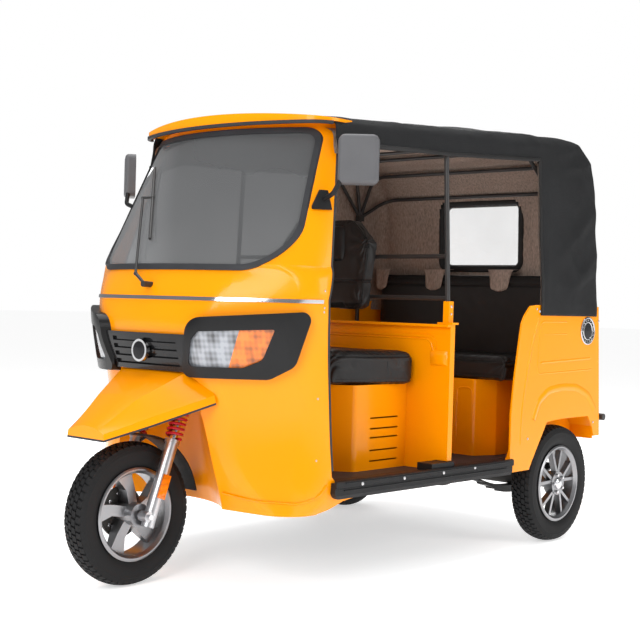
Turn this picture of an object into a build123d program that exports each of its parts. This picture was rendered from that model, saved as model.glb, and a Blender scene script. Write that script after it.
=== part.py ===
from build123d import *
import os
from math import atan2, cos, degrees, radians, sin, sqrt

os.makedirs("parts", exist_ok=True)

# Three-wheeled auto rickshaw. Millimetres. +Z up, +X the vehicle's left, -Y its nose.
# The origin is on the ground, under the middle of the vehicle.

# ---------------------------------------------------------------- driving dimensions
OVERALL_LENGTH = 2600          # front of the front tyre to the back of the rear bumper
WHEELBASE = 1950
TRACK = 1190                   # between the rear tyres' middles
TYRE_R = 260
TYRE_W = 100
RIM_R = 170                    # outer radius of the rim's flange
RIM_W = 104
BODY_HALF_W = 650              # the rear body's sides
COWL_HALF_W = 600              # the body narrows from the rear body to the front cowl
WALL = 8                       # a whole body panel, sheet and lining together
SEAT_GAP = 0.3                 # between a piece and what it sits on

FRONT_AXLE_Y = -OVERALL_LENGTH / 2 + TYRE_R
REAR_AXLE_Y = FRONT_AXLE_Y + WHEELBASE
TAIL_Y = OVERALL_LENGTH / 2

CASTER = 20                    # lean of the fork, degrees from upright
FORK_SPREAD = 98               # from the middle plane to a fork leg
AXLE_LEAD = 22                 # the front axle is this far ahead of the legs

# Heights of the body.
FLOOR_TOP = 384
FLOOR_T = 12
BELT = 1030                    # top of the rear body, where the canopy starts
WINDSCREEN_BASE = 1170
HEADER = 1706                  # top of the windscreen frame

# Places along the body.
DOOR_Y = -652                  # rear edge of the front cowl, at the belt
PARTITION_Y = 62               # wall behind the driver
REAR_BODY_Y = 486              # front edge of the rear body
BODY_END_Y = 1256              # the rear wall's outer face, at its foot
REAR_BASE = 455                # foot of the rear wall
REAR_SLOPE = 0.066             # the rear wall leans forward this much per unit of height

# Plan sections of the nose: arcs chained from the middle plane outwards. Columns: height,
# half width, foremost point, then radius and end of the front arc, the shoulder's arc and
# the slanting face's arc. Each end is the surface normal's angle from straight ahead.
SCREEN_SECTION = (WINDSCREEN_BASE, 585, -930, 900, 10, 900, 20, 900, 28.4)
LOWER_NOSE = [
    (283, COWL_HALF_W - 40, -828, 3000, 8.4, 145, 30, 145, 60),
    (430, COWL_HALF_W, -885, 2200, 8.2, 165, 34, 2000, 39),
    (578, COWL_HALF_W, -900, 2000, 7.8, 160, 34, 2000, 41),
    (726, COWL_HALF_W, -928, 1800, 7.9, 160, 34, 2000, 42),
    (874, COWL_HALF_W, -976, 1600, 8.2, 160, 34, 2000, 42),
    (1022, COWL_HALF_W, -978, 1350, 11, 190, 33, 1700, 42),
    SCREEN_SECTION,
]
UPPER_NOSE = [
    SCREEN_SECTION,
    (1420, 540, -808, 850, 10, 850, 20, 850, 28.9),
    (HEADER, 492, -664, 790, 10, 790, 20, 790, 29.9),
]
NOSE_BACK = -380               # the nose's sections end here, behind the door edge


def tube(path, radius):
    """A round bar that follows a path."""
    start = Plane(origin=path @ 0, z_dir=path % 0)
    return sweep(start * Circle(radius), path=path)


def rod(p, q, radius):
    """A straight round bar from p to q."""
    p, q = Vector(*p), Vector(*q)
    place = Plane(origin=p, z_dir=q - p)
    return place * Cylinder(radius, (q - p).length, align=(Align.CENTER, Align.CENTER, Align.MIN))


def bent_tube(points, radius, bend):
    """A round bar through points, with the same bend at each of them."""
    return tube(FilletPolyline(*points, radius=bend), radius)


def face_of(points):
    return make_face(Polyline(*points, close=True))


def side_prism(points, x0, x1):
    """A side outline, (y, z) points, that reaches from x0 to x1."""
    return extrude(Plane.YZ.offset(x0) * face_of(points), amount=x1 - x0)


def front_prism(outline, y0, y1):
    """A front outline, an (x, z) face, that reaches from y0 back to y1."""
    return extrude(Plane.XZ.offset(-y1) * outline, amount=y1 - y0)


def plan_prism(outline, z0, z1):
    """A plan outline, an (x, y) face, that reaches from z0 up to z1."""
    return extrude(Plane.XY.offset(z0) * outline, amount=z1 - z0)


def block(x0, x1, y0, y1, z0, z1):
    place = Pos((x0 + x1) / 2, (y0 + y1) / 2, (z0 + z1) / 2)
    return place * Box(abs(x1 - x0), abs(y1 - y0), abs(z1 - z0))


def both_sides(piece):
    """The piece and its mirror image on the other side of the middle plane."""
    return Compound([*piece.solids(), *mirror(piece, about=Plane.YZ).solids()])


def rounded(points, radii):
    """A closed outline of straight runs, with an arc of the given radius at each corner."""
    wire = FilletPolyline(*points, radius=radii, close=True)
    return make_face(wire)


def save(name, piece):
    piece.label = name
    export_step(piece, f"parts/{name}.step")


# ---------------------------------------------------------------- nose surfaces
def nose_arc(centre, radius, start, end):
    """An arc of a plan section between two normal angles, measured from straight ahead."""
    spots = [(centre[0] + radius * sin(radians(a)), centre[1] - radius * cos(radians(a)))
             for a in (start, (start + end) / 2, end)]
    return spots


def nose_section(height, half_width, nose_y, front_r, front_to, shoulder_r, shoulder_to,
                 face_r, face_to, grow, back):
    """One plan section of the nose, moved outwards by grow: four arcs a side and a flat back."""
    w = half_width + grow
    centre = (0, nose_y + front_r)
    arcs = []
    start = 0
    inner_r = front_r
    for radius, end in ((front_r, front_to), (shoulder_r, shoulder_to), (face_r, face_to)):
        step = inner_r - radius
        centre = (centre[0] + step * sin(radians(start)), centre[1] - step * cos(radians(start)))
        arcs.append(nose_arc(centre, radius + grow, start, end))
        start, inner_r = end, radius
    last = arcs[-1][-1]
    side_r = (w - last[0]) / (1 - sin(radians(face_to)))
    side_centre = (w - side_r, last[1] + side_r * cos(radians(face_to)))
    arcs.append(nose_arc(side_centre, side_r, face_to, 90))
    first = arcs[0]
    edges = [ThreePointArc((-first[2][0], first[2][1]), first[0], first[2])]
    for a, m, b in arcs[1:]:
        edges.append(ThreePointArc(a, m, b))
        edges.append(ThreePointArc((-b[0], b[1]), (-m[0], m[1]), (-a[0], a[1])))
    end_y = arcs[-1][2][1]
    edges.append(Line((w, end_y), (w, back)))
    edges.append(Line((w, back), (-w, back)))
    edges.append(Line((-w, back), (-w, end_y)))
    return Plane.XY.offset(height) * make_face(edges)


def nose_solid(grow, back=NOSE_BACK):
    """The whole nose as a solid, its surface moved outwards by grow."""
    lower = loft([nose_section(*row, grow, back) for row in LOWER_NOSE])
    upper = loft([nose_section(*row, grow, back) for row in UPPER_NOSE])
    return lower + upper


NOSE_OUT = nose_solid(0)
NOSE_IN = nose_solid(-WALL, NOSE_BACK + 20)


def skin(outside, inside):
    """The layer of the nose between two offsets of its surface, outwards positive."""
    return nose_solid(outside) - nose_solid(inside, NOSE_BACK + 20)


# ---------------------------------------------------------------- front cowl
BEAK_TIP_Y = -1240
# Columns: y, bottom height, bottom half width, crease height, crease half width,
# top height, top half width.
BEAK = [
    (BEAK_TIP_Y, 546, 102, 566, 99, 578, 70),
    (-1100, 596, 182, 622, 176, 684, 110),
    (-900, 676, 300, 702, 292, 796, 190),
]
BEAK_WALL = 6
WELL_BACK_Y = -716             # wheel well: a round pocket behind the tyre
WELL_TOP = 752
WELL_BASE = 270
# Columns: height, half width at the mouth.
WELL = [(WELL_BASE, 324), (640, 214)]
WELL_MOUTH_Y = -890
DOOR_CUT = [(DOOR_Y, 1050), (DOOR_Y + 46, 420), (-560, 372), (-530, 340), (-470, 337), (-470, 331),
            (-526, 323), (-556, 309), (-590, 296), (-640, 286), (-650, 200), (100, 200), (100, 1800),
            (-468, 1800), (-492, HEADER - 40)]


def beak_section(y, z_bottom, w_bottom, z_crease, w_crease, z_top, w_top, inset, drop):
    """One section of the beak across the vehicle: sharp side creases and a crowned top."""
    crown = 10
    half = [
        (w_bottom - inset, z_bottom - drop),
        (w_crease - inset, z_crease - inset),
        (w_top - inset / 2, z_top - inset),
    ]
    left = [(-x, z) for x, z in half]
    top = ThreePointArc(half[2], (0, z_top + crown - inset), left[2])
    edges = [
        Line(left[0], half[0]),
        Line(half[0], half[1]),
        Line(half[1], half[2]),
        top,
        Line(left[2], left[1]),
        Line(left[1], left[0]),
    ]
    return Plane.XZ.offset(-y) * make_face(edges)


def beak_solid(inset, drop, ahead):
    rows = [(y + ahead * (y == BEAK_TIP_Y), *rest) for y, *rest in BEAK]
    return loft([beak_section(*row, inset, drop) for row in rows], ruled=True)


# The windscreen opening seen from the front: half widths at its base and head.
SCREEN_BASE_Z = 1147
SCREEN_HEAD_Z = 1686
SCREEN_BASE_W = 526
SCREEN_HEAD_W = 450
SCREEN_CORNERS = [150, 60, 60, 150]
SEAL_W = 22
SIDE_SHARE = 0.55              # the sides slant back, so an inset there is this much narrower


def screen_outline(inset):
    """The windscreen's outline, an (x, z) face, moved inwards all round."""
    base_w = SCREEN_BASE_W - inset * SIDE_SHARE
    head_w = SCREEN_HEAD_W - inset * SIDE_SHARE
    z0, z1 = SCREEN_BASE_Z + inset, SCREEN_HEAD_Z - inset
    corners = [(base_w, z0), (head_w, z1), (-head_w, z1), (-base_w, z0)]
    return rounded(corners, [r - inset * 0.6 for r in SCREEN_CORNERS])


SCREEN_BACK_Y = -440
NOSE_FRONT_Y = -1100
door_cut = side_prism(DOOR_CUT, -800, 800)
screen_hole = front_prism(screen_outline(SEAL_W / 2), NOSE_FRONT_Y, SCREEN_BACK_Y)
beak_under = beak_solid(BEAK_WALL, 60, BEAK_WALL)


def well_section(z, w, inset):
    """The pocket's plan outline at one height, moved inwards by inset."""
    front = NOSE_FRONT_Y
    back = WELL_BACK_Y - inset
    w = w - inset
    return Plane.XY.offset(z) * make_face([
        Line((-w, front), (w, front)),
        Line((w, front), (w, WELL_MOUTH_Y)),
        ThreePointArc((w, WELL_MOUTH_Y), (0, back), (-w, WELL_MOUTH_Y)),
        Line((-w, WELL_MOUTH_Y), (-w, front)),
    ])


def well_solid(inset, base=WELL_BASE, top=WELL_TOP):
    """The pocket as a solid: it narrows upwards, then runs straight to its roof."""
    (z0, w0), (z1, w1) = WELL
    lean = (w1 - w0) / (z1 - z0)
    w_base = w0 + (base - z0) * lean
    cone = loft([well_section(base, w_base, inset), well_section(z1, w1, inset)], ruled=True)
    return cone + extrude(well_section(z1, w1, inset), amount=top - z1)


WELL_MOUTH_TOP = 668
well_mouth = well_solid(0, WELL_BASE - 60, WELL_MOUTH_TOP)
front_cowl = (NOSE_OUT - well_mouth) + beak_solid(0, 0, 0)
front_cowl = front_cowl - NOSE_IN - beak_under - door_cut - screen_hole
save("front_cowl", front_cowl)

# Sheet panel behind the front wheel, folded back into the nose.
WELL_T = 6
well_out = well_solid(-WELL_T)
well_in = well_solid(0, WELL_BASE - 40, WELL_TOP - WELL_T)
STEM_R = 17
STEM_HOLE_R = STEM_R + 22


def fork_point(x, lead, up):
    """A point of the steering: lead is ahead of the axle, up is along the leaning fork."""
    lean = radians(CASTER)
    y = FRONT_AXLE_Y - lead * cos(lean) + up * sin(lean)
    return (x, y, TYRE_R + lead * sin(lean) + up * cos(lean))


STEM_LEAD = -AXLE_LEAD - 36    # the steering axis is behind the legs
LEG_R = 24
LEG_TOP = 292
CROWN_UP = 432                 # lower yoke, above the springs
CROWN_T = 24
HEAD_UP = 505                  # head tube of the frame
HEAD_LEN = 150
HEAD_R = 28
BAR_UP = 800
stem_hole = rod(fork_point(0, STEM_LEAD, 380), fork_point(0, STEM_LEAD, 640), STEM_HOLE_R)
nose_inside = nose_solid(-WALL - SEAT_GAP, NOSE_BACK + 20)
wheel_well = (well_out & nose_inside) - well_in - stem_hole - beak_solid(SEAT_GAP, 60, 0)
wheel_well = Compound([max(wheel_well.solids(), key=lambda s: s.volume)])
save("wheel_well", wheel_well)

# Windscreen: curved glass held in a rubber seal that grips the cowl's edge.
GLASS_T = 5
seal_band = front_prism(screen_outline(0) - screen_outline(SEAL_W), NOSE_FRONT_Y, SCREEN_BACK_Y)
seal_core = screen_outline(SEAL_W / 2 + SEAT_GAP) - screen_outline(SEAL_W)
windscreen_seal = skin(7, SEAT_GAP) & seal_band
windscreen_seal = windscreen_seal + (skin(1, -WALL - 4) & front_prism(seal_core, NOSE_FRONT_Y, SCREEN_BACK_Y))
save("windscreen_seal", windscreen_seal)
glass_hole = front_prism(screen_outline(SEAL_W + SEAT_GAP), NOSE_FRONT_Y, SCREEN_BACK_Y)
windscreen = skin(-1, -1 - GLASS_T) & glass_hole
save("windscreen", windscreen)

# Bright strip round the nose below the windscreen.
STRIP_Z = 1044
STRIP_H = 13
strip_band = block(-700, 700, -1100, -676, STRIP_Z - STRIP_H / 2, STRIP_Z + STRIP_H / 2)
chrome_strip = skin(5, SEAT_GAP) & strip_band
save("chrome_strip", chrome_strip)

# Roof cap: a crowned panel over the windscreen with a dark lip under its front edge.
ROOF_SECTION = (506, -702, 1080, 8, 1080, 16, 1080, 23.7)
CAP_BACK = -440
CAP_H = 12
CAP_CROWN = 24


def roof_outline(inset, back):
    """The roof cap's plan outline, an (x, y) face at the ground."""
    return nose_section(0, *ROOF_SECTION, -inset, back)


def crowned_solid(base_z, edge_z, crown, inset, back):
    """A solid over the roof cap's plan with a top that rises by crown to the middle plane."""
    body = plan_prism(roof_outline(inset, back), base_z, edge_z + crown + 60)
    w = ROOF_SECTION[0] + 60
    sag = crown * (w / ROOF_SECTION[0]) ** 2
    arc = ThreePointArc((-w, edge_z + crown - sag), (0, edge_z + crown), (w, edge_z + crown - sag))
    under = make_face([arc, Line((w, edge_z + crown - sag), (w, base_z - 50)),
                       Line((w, base_z - 50), (-w, base_z - 50)),
                       Line((-w, base_z - 50), (-w, edge_z + crown - sag))])
    return body & front_prism(under, -900, 0)


cap_out = crowned_solid(HEADER + SEAT_GAP, HEADER + CAP_H, CAP_CROWN, 0, CAP_BACK)
cap_in = crowned_solid(HEADER - 20, HEADER + CAP_H - WALL, CAP_CROWN, WALL, CAP_BACK + 20)
roof_cap = cap_out - cap_in
save("roof_cap", roof_cap)
LIP_H = 12
visor_lip = plan_prism(roof_outline(-5, -490), HEADER - LIP_H, HEADER)
visor_lip = visor_lip - plan_prism(roof_outline(8, -400), HEADER - LIP_H - 10, HEADER + 10)
visor_lip = visor_lip - block(-600, 600, -542, 0, 1600, 1800)
save("visor_lip", visor_lip)

# ---------------------------------------------------------------- lamps and grille
LAMP_OUT = 34                  # how far the bezel stands out of the cowl
LAMP_PLANE_DIR = Vector(0.66, -0.751, 0)
LAMP_ORIGIN = Vector(460, -850, 890)
lamp_plane = Plane(origin=LAMP_ORIGIN, x_dir=Vector(0.751, 0.66, 0), z_dir=LAMP_PLANE_DIR)
BEZEL = [(-282, -127), (-266, 86), (188, 119), (126, -76), (36, -125)]
BEZEL_RADII = [34, 58, 30, 50, 60]
LENS = [(-257, -87), (-246, 8), (-220, 39), (52, 53), (10, -56), (-60, -86)]
LENS_RADII = [18, 14, 12, 6, 40, 26]


def lamp_prism(points, radii, grow=0):
    outline = rounded(points, radii)
    if grow:
        outline = offset(outline, grow)
    placed = lamp_plane.offset(-260) * outline
    return extrude(placed, amount=460)


bezel_form = lamp_prism(BEZEL, BEZEL_RADII)
lens_form = lamp_prism(LENS, LENS_RADII)
shell_out = nose_solid(LAMP_OUT)
cowl_skin = nose_solid(SEAT_GAP)
LAMP_INNER_X = 190
right_half = block(LAMP_INNER_X, 900, -1200, -600, 600, 1200)
beak_skin = beak_solid(-SEAT_GAP, SEAT_GAP, 0)
bezel = ((shell_out & bezel_form & right_half) - cowl_skin) - lens_form - beak_skin
bezel = Compound([max(bezel.solids(), key=lambda s: s.volume)])
save("headlamp_bezels", both_sides(bezel))

lens_body = (nose_solid(LAMP_OUT - 12) & lamp_prism(LENS, LENS_RADII, -SEAT_GAP) & right_half) - cowl_skin
LENS_SPLIT = [(-65, 80), (300, 80), (300, -160), (-130, -160)]
split_face = face_of(LENS_SPLIT)
split_form = extrude(lamp_plane.offset(-260) * split_face, amount=460)
indicator = lens_body & split_form
headlamp = lens_body - split_form
save("headlamps", both_sides(headlamp))
save("indicators", both_sides(indicator))

GRILLE_HALF_W = 264            # its ends are cut along the bezels
GRILLE_TOP = 915
GRILLE_BASE = 779
GRILLE_OUT = 18
GRILLE_SLATS = 4
grille_face = make_face(Polyline((-GRILLE_HALF_W, GRILLE_TOP), (GRILLE_HALF_W, GRILLE_TOP),
                                 (GRILLE_HALF_W, GRILLE_BASE), (-GRILLE_HALF_W, GRILLE_BASE), close=True))
grille_form = front_prism(grille_face, NOSE_FRONT_Y, -800)
grille = (nose_solid(GRILLE_OUT) & grille_form) - cowl_skin - beak_skin
groove_depth = nose_solid(GRILLE_OUT - 9)
slat_pitch = (GRILLE_TOP - GRILLE_BASE - 24) / GRILLE_SLATS
for slat in range(GRILLE_SLATS):
    z = GRILLE_BASE + 12 + (slat + 0.5) * slat_pitch
    grille = grille - (block(-GRILLE_HALF_W + 90, GRILLE_HALF_W - 90, -1100, -900, z - 8, z + 8) - groove_depth)
grille = grille - both_sides(lamp_prism(BEZEL, BEZEL_RADII, SEAT_GAP))
save("grille_panel", grille)
RING_R = 41
RING_Y = -992
ring_place = Plane(origin=(0, RING_Y, 850), z_dir=(0, -1, 0))
ring = ring_place * (Cylinder(RING_R, 16, align=(Align.CENTER, Align.CENTER, Align.MIN))
                     - Pos(0, 0, 10) * Cylinder(RING_R - 8, 12, align=(Align.CENTER, Align.CENTER, Align.MIN)))
ring = ring - nose_solid(GRILLE_OUT + SEAT_GAP)
save("grille_ring", ring)

# ---------------------------------------------------------------- floor, sills and seats
RAIL_X = 285                   # chassis rails, from the middle plane
RAIL_W = 50
RAIL_TOP = FLOOR_TOP - FLOOR_T - SEAT_GAP
RAIL_BASE = RAIL_TOP - 62
STEP_FRONT_Y = DOOR_Y + 44
FLOOR_JOIN_Y = STEP_FRONT_Y - 6
SILL_INNER_X = BODY_HALF_W - 30
TAPER = (BODY_HALF_W - COWL_HALF_W) / (REAR_BODY_Y - DOOR_Y)


def side_x(x, y):
    """Where a side line through x at the rear body runs at y; it leans in towards the nose."""
    return x - max(REAR_BODY_Y - y, 0) * TAPER


floor_front = nose_solid(-WALL - SEAT_GAP, 100)
floor_front = floor_front & block(-700, 700, -1000, FLOOR_JOIN_Y, FLOOR_TOP - FLOOR_T, FLOOR_TOP)
floor_front = floor_front - well_solid(-WELL_T - SEAT_GAP, WELL_BASE - 40)
floor_end_y = BODY_END_Y - WALL - SEAT_GAP
sill_line = [(side_x(SILL_INNER_X, FLOOR_JOIN_Y), FLOOR_JOIN_Y), (SILL_INNER_X, REAR_BODY_Y),
             (SILL_INNER_X, floor_end_y)]
floor_plan = face_of([*sill_line, *[(-x, y) for x, y in reversed(sill_line)]])
floor_rear = plan_prism(floor_plan, FLOOR_TOP - FLOOR_T, FLOOR_TOP)
ARCH_INNER_X = 520             # inner wall of the rear wheel arches
arch_well = block(ARCH_INNER_X - 8, 700, REAR_BODY_Y + 60, BODY_END_Y + 10, 300, 600)
floor_pan = (floor_front + floor_rear) - both_sides(arch_well)
save("floor_pan", floor_pan)

# Door sills: ribbed plastic steps, turned down over the floor's edge, with a raised pad
# at the partition.
STEP_OUT_X = BODY_HALF_W + 22
step_section = [(SILL_INNER_X - 36, FLOOR_TOP + SEAT_GAP), (SILL_INNER_X - 36, FLOOR_TOP + 14),
                (STEP_OUT_X - 10, FLOOR_TOP + 14), (STEP_OUT_X - 10, FLOOR_TOP + 22),
                (STEP_OUT_X, FLOOR_TOP + 18), (STEP_OUT_X, FLOOR_TOP - 4), (STEP_OUT_X - 7, FLOOR_TOP - 8),
                (STEP_OUT_X - 7, 352), (STEP_OUT_X - 15, 338), (SILL_INNER_X + SEAT_GAP + 2, 338),
                (SILL_INNER_X + SEAT_GAP + 2, FLOOR_TOP + SEAT_GAP)]
step = extrude(Plane.XZ.offset(-REAR_BODY_Y) * face_of(step_section), amount=REAR_BODY_Y - 0.3 - STEP_FRONT_Y)
step_pad = block(SILL_INNER_X - 36, STEP_OUT_X - 14, PARTITION_Y - 112, PARTITION_Y + 30,
                 FLOOR_TOP + 13, FLOOR_TOP + 40)
STEP_NOSE_R = 62
nose_low = (STEP_FRONT_Y - 5, FLOOR_TOP - 4)
nose_mid = (STEP_FRONT_Y + STEP_NOSE_R * 0.28, FLOOR_TOP - STEP_NOSE_R * 0.66)
nose_end = (STEP_FRONT_Y + STEP_NOSE_R, 338)
nose_cut = make_face([
    ThreePointArc(nose_low, nose_mid, nose_end),
    Line(nose_end, (nose_end[0], 300)),
    Line((nose_end[0], 300), (nose_low[0], 300)),
    Line((nose_low[0], 300), nose_low),
])
step = (step + step_pad) - extrude(Plane.YZ.offset(500) * nose_cut, amount=220)
lean_in = Pos(SILL_INNER_X, REAR_BODY_Y) * Rot(0, 0, -degrees(atan2(TAPER, 1)))
step = lean_in * (Pos(-SILL_INNER_X, -REAR_BODY_Y) * step)
step = step - (skin(SEAT_GAP, -WALL - SEAT_GAP) - door_cut)
step = Compound([max(step.solids(), key=lambda s: s.volume)])
save("door_steps", both_sides(step))

# Driver's seat box, pressed louvres on its sides.
BOX_FRONT_Y = -310
BOX_HALF_W = 405
BOX_TOP = 722
BOX_T = 4
box_plan = [(-BOX_HALF_W + 95, BOX_FRONT_Y), (BOX_HALF_W - 95, BOX_FRONT_Y), (BOX_HALF_W, BOX_FRONT_Y + 60),
            (BOX_HALF_W + 10, PARTITION_Y - SEAT_GAP), (-BOX_HALF_W - 10, PARTITION_Y - SEAT_GAP),
            (-BOX_HALF_W, BOX_FRONT_Y + 60)]
BOX_RADII = [20, 20, 24, 1, 1, 24]
box_outline = rounded(box_plan, BOX_RADII)
seat_box = plan_prism(box_outline, FLOOR_TOP + SEAT_GAP, BOX_TOP)
seat_box = seat_box - plan_prism(offset(box_outline, -BOX_T), FLOOR_TOP - 10, BOX_TOP - BOX_T)
LOUVRE_HEIGHTS = [420, 462, 512, 548, 590]
for z in LOUVRE_HEIGHTS:
    louvre = block(BOX_HALF_W - 30, BOX_HALF_W + 40, -160, 10, z - 3, z + 3)
    seat_box = seat_box - both_sides(louvre)
save("driver_seat_box", seat_box)

CUSHION_TOP = 852
CUSHION_HALF_W = 492
CUSHION_FRONT_Y = -385
CUSHION_BACK_Y = PARTITION_Y - 6
cushion_outline = rounded([(-CUSHION_HALF_W + 130, CUSHION_FRONT_Y), (CUSHION_HALF_W - 130, CUSHION_FRONT_Y),
                           (CUSHION_HALF_W - 60, CUSHION_FRONT_Y + 190), (CUSHION_HALF_W, CUSHION_BACK_Y),
                           (-CUSHION_HALF_W, CUSHION_BACK_Y), (-CUSHION_HALF_W + 60, CUSHION_FRONT_Y + 190)],
                          [90, 90, 120, 34, 34, 120])
driver_cushion = plan_prism(cushion_outline, BOX_TOP + SEAT_GAP, CUSHION_TOP)
driver_cushion = fillet(driver_cushion.faces().sort_by(Axis.Z)[-1].edges(), 30)
save("driver_cushion", driver_cushion)

# Partition behind the driver: a pressed wall right across, with a lip along its top.
PARTITION_T = 10
PARTITION_TOP = 968
PARTITION_HALF_W = 625
PARTITION_RETURN = 30          # how far its edges fold back
partition = block(-PARTITION_HALF_W, PARTITION_HALF_W, PARTITION_Y, PARTITION_Y + PARTITION_T,
                  FLOOR_TOP + 42, PARTITION_TOP)
partition_foot_w = side_x(SILL_INNER_X - 38, PARTITION_Y)
partition = partition + block(-partition_foot_w, partition_foot_w, PARTITION_Y, PARTITION_Y + PARTITION_T,
                              FLOOR_TOP + SEAT_GAP, FLOOR_TOP + 50)
partition = partition + block(-PARTITION_HALF_W, PARTITION_HALF_W, PARTITION_Y - 20,
                              PARTITION_Y + PARTITION_RETURN, PARTITION_TOP - 10, PARTITION_TOP)
partition = partition + both_sides(block(PARTITION_HALF_W - 8, PARTITION_HALF_W, PARTITION_Y,
                                         PARTITION_Y + PARTITION_RETURN, FLOOR_TOP + 42, PARTITION_TOP))
partition_rib = front_prism(rounded([(-560, 440), (560, 440), (560, 925), (-560, 925)], 40)
                            - rounded([(-550, 450), (550, 450), (550, 915), (-550, 915)], 32),
                            PARTITION_Y - 4, PARTITION_Y + 1)
partition = partition + (partition_rib - block(-700, 700, -100, 100, 300, 870))
save("partition", partition)

# Posts that carry the hood's edge, in sockets on the partition, with two rails between
# them behind the driver.
POST_R = 10
POST_BASE_X = 602
POST_HEAD_X = 568
POST_Y = 74
POST_HEAD_Z = 1712
SOCKET_H = 92
socket = Pos(POST_BASE_X, POST_Y, PARTITION_TOP + SEAT_GAP) * (
    Box(74, 42, 8, align=(Align.CENTER, Align.CENTER, Align.MIN))
    + Box(28, 30, SOCKET_H, align=(Align.CENTER, Align.CENTER, Align.MIN)))
post_foot = (POST_BASE_X, POST_Y, PARTITION_TOP + SEAT_GAP + 12)
post_head = (POST_HEAD_X, POST_Y, POST_HEAD_Z)
socket = socket - rod(post_foot, post_head, POST_R + SEAT_GAP)
save("post_sockets", both_sides(socket))
RAIL_HEIGHTS = [1240, 1072]
RAIL_R = 9


def post_x(z):
    along = (z - post_foot[2]) / (POST_HEAD_Z - post_foot[2])
    return POST_BASE_X + along * (POST_HEAD_X - POST_BASE_X)


posts = bent_tube([post_foot, post_head, (-post_head[0], *post_head[1:]), (-post_foot[0], *post_foot[1:])],
                  POST_R, 60)
for z in RAIL_HEIGHTS:
    posts = posts + rod((-post_x(z), POST_Y, z), (post_x(z), POST_Y, z), RAIL_R)
save("posts_and_rails", posts)

# Driver's backrest, hung on the two rails.
BACKREST_HALF_W = 262
BACKREST_BASE = 1006
BACKREST_TOP = 1404
BACKREST_T = 72
back_half = [(BACKREST_HALF_W - 38, BACKREST_BASE), (BACKREST_HALF_W, 1300), (BACKREST_HALF_W - 96, BACKREST_TOP)]
back_face = rounded([*back_half, *[(-x, z) for x, z in reversed(back_half)]], [30, 60, 40, 40, 60, 30])
back_y = POST_Y - RAIL_R - SEAT_GAP
driver_backrest = front_prism(back_face, back_y - BACKREST_T, back_y)
save("driver_backrest", driver_backrest)

# ---------------------------------------------------------------- rear body
ARCH = [(649, 360), (695, 426), (780, 543), (892, 551), (1146, 551), (1186, 500), (1202, 455)]
BODY_TOP = BELT + 27


def rear_y(z):
    """The rear wall's outer face at a height."""
    return BODY_END_Y - (z - REAR_BASE) * REAR_SLOPE


def rear_layer(x0, x1, z0, z1, out_from, out_to):
    """A slab that lies parallel to the rear wall, between two distances behind its face."""
    points = [(rear_y(z0) + out_from, z0), (rear_y(z0) + out_to, z0),
              (rear_y(z1) + out_to, z1), (rear_y(z1) + out_from, z1)]
    return side_prism(points, x0, x1)


side_top = [(BODY_END_Y, REAR_BASE), (rear_y(BODY_TOP), BODY_TOP), (672, BODY_TOP), (617, BODY_TOP - 5),
            (571, 1010), (549, 975), (525, 851), (504, 737), (REAR_BODY_Y, 600), (REAR_BODY_Y, 345),
            (640, 345)]
side_out = face_of(ARCH + side_top)
rear_side = extrude(Plane.YZ.offset(BODY_HALF_W - WALL) * side_out, amount=WALL)
rear_side = rear_side - rear_layer(500, 700, 300, 1200, -WALL - SEAT_GAP, 20)
save("rear_side_panels", both_sides(rear_side))

# Wheel houses inside the side panels.
house_outer = face_of([(600, 352), (649, 366), (692, 436), (776, 560), (890, 568), (1160, 568),
                       (1208, 505), (1208, 442), (1190, 442), (1190, 352)])
house_inner = face_of([(596, 300), (655, 352), (699, 426), (784, 553), (892, 560), (1155, 560),
                       (1200, 500), (1200, 300)])
house_x0 = ARCH_INNER_X
house_x1 = BODY_HALF_W - WALL - SEAT_GAP
house = extrude(Plane.YZ.offset(house_x0) * house_outer, amount=house_x1 - house_x0)
house = house - extrude(Plane.YZ.offset(house_x0 + 5) * house_inner, amount=200)
save("wheel_houses", both_sides(house))

rear_panel = rear_layer(-BODY_HALF_W, BODY_HALF_W, REAR_BASE, BODY_TOP, -WALL, 0)
save("rear_panel", rear_panel)

# Passenger seat: pressed box, bench and backrest.
PBOX_FRONT_Y = 574
PBOX_HALF_W = 400
PBOX_TOP = 722
pbox_outline = rounded([(-PBOX_HALF_W, PBOX_FRONT_Y), (PBOX_HALF_W, PBOX_FRONT_Y), (PBOX_HALF_W + 50, 680),
                        (PBOX_HALF_W + 50, 1180), (-PBOX_HALF_W - 50, 1180), (-PBOX_HALF_W - 50, 680)],
                       [20, 20, 20, 4, 4, 20])
passenger_box = plan_prism(pbox_outline, FLOOR_TOP + SEAT_GAP, PBOX_TOP)
passenger_box = passenger_box - plan_prism(offset(pbox_outline, -BOX_T), FLOOR_TOP - 10, PBOX_TOP - BOX_T)
save("passenger_seat_box", passenger_box)

BENCH_HALF_W = 572
BENCH_TOP = 822
BENCH_FRONT_Y = 560
bench = block(-BENCH_HALF_W, BENCH_HALF_W, BENCH_FRONT_Y, 1080, PBOX_TOP + SEAT_GAP, BENCH_TOP)
bench = fillet(bench.faces().sort_by(Axis.Z)[-1].edges(), 26)
save("bench_cushion", bench)
bench_back = block(-BENCH_HALF_W, BENCH_HALF_W, 1080 + SEAT_GAP, 1160, PBOX_TOP + SEAT_GAP + 20, 1216)
bench_back = fillet(bench_back.faces().sort_by(Axis.Y)[0].edges(), 22)
save("bench_backrest", bench_back)

# ---------------------------------------------------------------- hood
HOOD_T = 7
HOOD_EDGE_Y = 702              # front edge of the side curtains
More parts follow.
